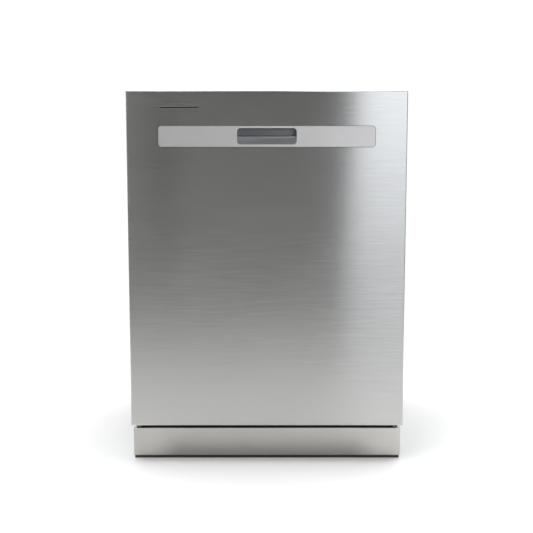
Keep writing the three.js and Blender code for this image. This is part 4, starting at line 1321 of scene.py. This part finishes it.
def dressPlain():
    for node, material in plainPieces.items():
        words = node.split("_")
        piece = fromNode(node, words[0] + "".join(word.title() for word in words[1:]), 0.4 * mm)
        fit(piece, bodyOf(node), material, node)


dressPlain()
print("plain pieces dressed")
for make in (makeTub, makeGasket, makeBlanket, makeSump, makeHeater, makeFilterCup, makeFloat, makeManifold,
             makeMotor, makeDrainPump, makeInletValve, makeJunctionBox, makeFeet, makeSprings,
             makeFrameScrews):
    make()
print("cabinet pieces made")
for make in (makeDoorLiner, makeConsole, makeDispenser, makeVent, makeHingeScrews):
    make()
print("door pieces made")
for make in (makeUpperRack, makeLowerRack, makeWheels, makeCupShelf, makeTineRow, makeCutleryBasket,
             makeSprayArms, makeFeedTube):
    make()
print("racks made")

# studio: a pale floor, pale backdrops, and hidden cards that give the metal its reflections
studio = {
    "floorGlow": 0.07, "worldFront": 0.03, "worldBack": 0.75,
    "wall": (0.34, 0.02), "band": (1.18, 2.4), "bandLean": 0.155, "key": 39, "top": 83,
}


def ramp(tree, value, start, end, first=0.0, last=1.0):
    return addNode(tree, "MapRange", {"Value": value, "From Min": start, "From Max": end, "To Min": first,
                                      "To Max": last}, interpolation_type="SMOOTHSTEP").outputs[0]


def card(name, low, high, strength, colour="FFFFFF", hidden=True, gradient=None):
    # a flat panel across a box with one side of no thickness; hidden panels light the metal only
    deselectAll()
    thin = min(range(3), key=lambda i: abs(high[i] - low[i]))
    middle = [(a + b) / 2 for a, b in zip(low, high)]
    turn = [(0, math.pi / 2, 0), (math.pi / 2, 0, 0), (0, 0, 0)][thin]
    bpy.ops.mesh.primitive_plane_add(size=1, location=middle, rotation=turn)
    panel = bpy.context.object
    panel.name = name
    size = [abs(b - a) for a, b in zip(low, high)]
    panel.scale = {0: (size[2], size[1], 1), 1: (size[0], size[2], 1), 2: (size[0], size[1], 1)}[thin]
    applyPlace()
    material = bpy.data.materials.new(name)
    material.use_nodes = True
    tree = material.node_tree
    tree.nodes.remove(tree.nodes["Principled BSDF"])
    glow = addNode(tree, "Emission", {"Color": linear(colour), "Strength": strength})
    if gradient:
        axis, start, end, first, last = gradient
        where = addNode(tree, "TexCoord").outputs["Object"]
        along = addNode(tree, "SeparateXYZ", {0: where}).outputs[axis]
        tree.links.new(ramp(tree, along, start, end, first, last), glow.inputs["Strength"])
    tree.links.new(glow.outputs[0], tree.nodes["Material Output"].inputs["Surface"])
    panel.data.materials.append(material)
    panel.visible_camera = not hidden
    panel.visible_shadow = not hidden
    return panel


def makeFloor():
    # pale all over: lit by the lamps round the object, and glowing further out so that no edge shows
    deselectAll()
    bpy.ops.mesh.primitive_plane_add(size=40, location=(0, 0, 0))
    floor = bpy.context.object
    floor.name = "floor"
    material, tree, surface, where = newMaterial("studioFloor", "", Roughness=0.9)
    away = addNode(tree, "VectorMath", {0: where}, operation="LENGTH")
    far = addNode(tree, "MapRange", {"Value": away.outputs["Value"], "From Min": 0.75, "From Max": 2.6},
                  interpolation_type="SMOOTHSTEP")
    tree.links.new(mixColours(tree, far.outputs[0], "F6F6F6", "5A5A5A"), surface.inputs["Base Color"])
    glow = addNode(tree, "MapRange", {"Value": far.outputs[0], "To Min": studio["floorGlow"], "To Max": 0.93})
    surface.inputs["Emission Color"].default_value = linear("FFFFFF")
    tree.links.new(glow.outputs[0], surface.inputs["Emission Strength"])
    floor.data.materials.append(material)


def fadingCard(name, low, high, strength, fade):
    # a panel that only metal reflects; fade gives its opacity from a tree and a place
    panel = card(name, low, high, strength)
    tree = panel.data.materials[0].node_tree
    glow = next(node for node in tree.nodes if node.type == "EMISSION")
    clear = addNode(tree, "BsdfTransparent")
    where = addNode(tree, "TexCoord").outputs["Object"]
    both = addNode(tree, "MixShader", {0: fade(tree, where), 1: clear.outputs[0], 2: glow.outputs[0]})
    tree.links.new(both.outputs[0], tree.nodes["Material Output"].inputs["Surface"])
    panel.visible_diffuse = False
    return panel


def kickFade(tree, where):
    axes = addNode(tree, "SeparateXYZ", {0: where}).outputs
    side = addNode(tree, "Math", {0: axes[0]}, operation="ABSOLUTE")
    return addNode(tree, "Math", {0: ramp(tree, side.outputs[0], 0.19, 0.28, 0.62, 0.0),
                                  1: ramp(tree, axes[1], -0.44, -0.31)}, operation="MULTIPLY").outputs[0]


def floorFade(tree, where):
    return ramp(tree, addNode(tree, "SeparateXYZ", {0: where}).outputs[1], -2.6, -0.75, 1.0, 0.07)


def makeStudio():
    scene = bpy.context.scene
    scene.view_settings.view_transform = "Standard"
    scene.view_settings.look = "None"
    world = scene.world or bpy.data.worlds.new("studio")
    scene.world = world
    world.use_nodes = True
    tree = world.node_tree
    where = addNode(tree, "TexCoord").outputs["Generated"]
    along = addNode(tree, "SeparateXYZ", {0: where}).outputs[1]
    shade = ramp(tree, along, -0.5, 0.4, studio["worldFront"], studio["worldBack"])
    tree.nodes["Background"].inputs[0].default_value = linear("FFFFFF")
    tree.links.new(shade, tree.nodes["Background"].inputs[1])
    makeFloor()
    for name, low, high in (("backdropRear", (-12, 9, -0.5), (12, 9, 9)),
                            ("backdropLeft", (-12, -9, -0.5), (-12, 9, 9)),
                            ("backdropRight", (12, -9, -0.5), (12, 9, 9)),
                            ("backdropFront", (-12, -9, -0.5), (12, -9, 9))):
        screen = card(name, low, high, 1.05, hidden=False)
        screen.visible_glossy = screen.visible_diffuse = name != "backdropFront"
    card("wallCard", (-5, -4.0, 0), (5, -4.0, 5), 1.0, gradient=(2, 0.0, 2.4, *studio["wall"]))
    card("leftCard", (-2.6, -3.9, 0), (-0.52, -3.9, 2.4), 1.0, gradient=(0, -0.95, -0.52, 0.30, 0.10))
    # hidden dark cards that only the metal reflects: a painted contact shadow under the kick, and a floor
    # that darkens towards the camera
    fadingCard("kickShade", (-0.3, -0.46, 0.003), (0.3, -0.26, 0.003), 0.16, kickFade)
    fadingCard("floorShade", (-6, -8, 0.002), (6, -0.55, 0.002), 0.06, floorFade)
    band = card("bandCard", (0.346, -2.7, 0.0), (1.3, -2.7, 2.6), 1.0, "F6F9FF",
                gradient=(2, 0.0, 1.3, *studio["band"]))
    startEdit(band, "VERT")
    selectWhere(band, "verts", lambda c: c.x < 0.5 and c.z > 2)
    bpy.ops.transform.translate(value=(studio["bandLean"], 0, 0))
    endEdit()
    for name, place, size, power in (("keyLight", (-1.2, -1.8, 3.2), 1.8, studio["key"]),
                                     ("topLight", (0.2, 0.1, 3.2), 2.4, studio["top"])):
        bpy.ops.object.light_add(type="AREA", location=place)
        lamp = bpy.context.object
        lamp.name = name
        lamp.data.size = size
        lamp.data.energy = power
        lamp.rotation_euler = (Vector((0, 0, 0.4)) - Vector(place)).to_track_quat("-Z", "Y").to_euler()


makeStudio()
print("studio made")
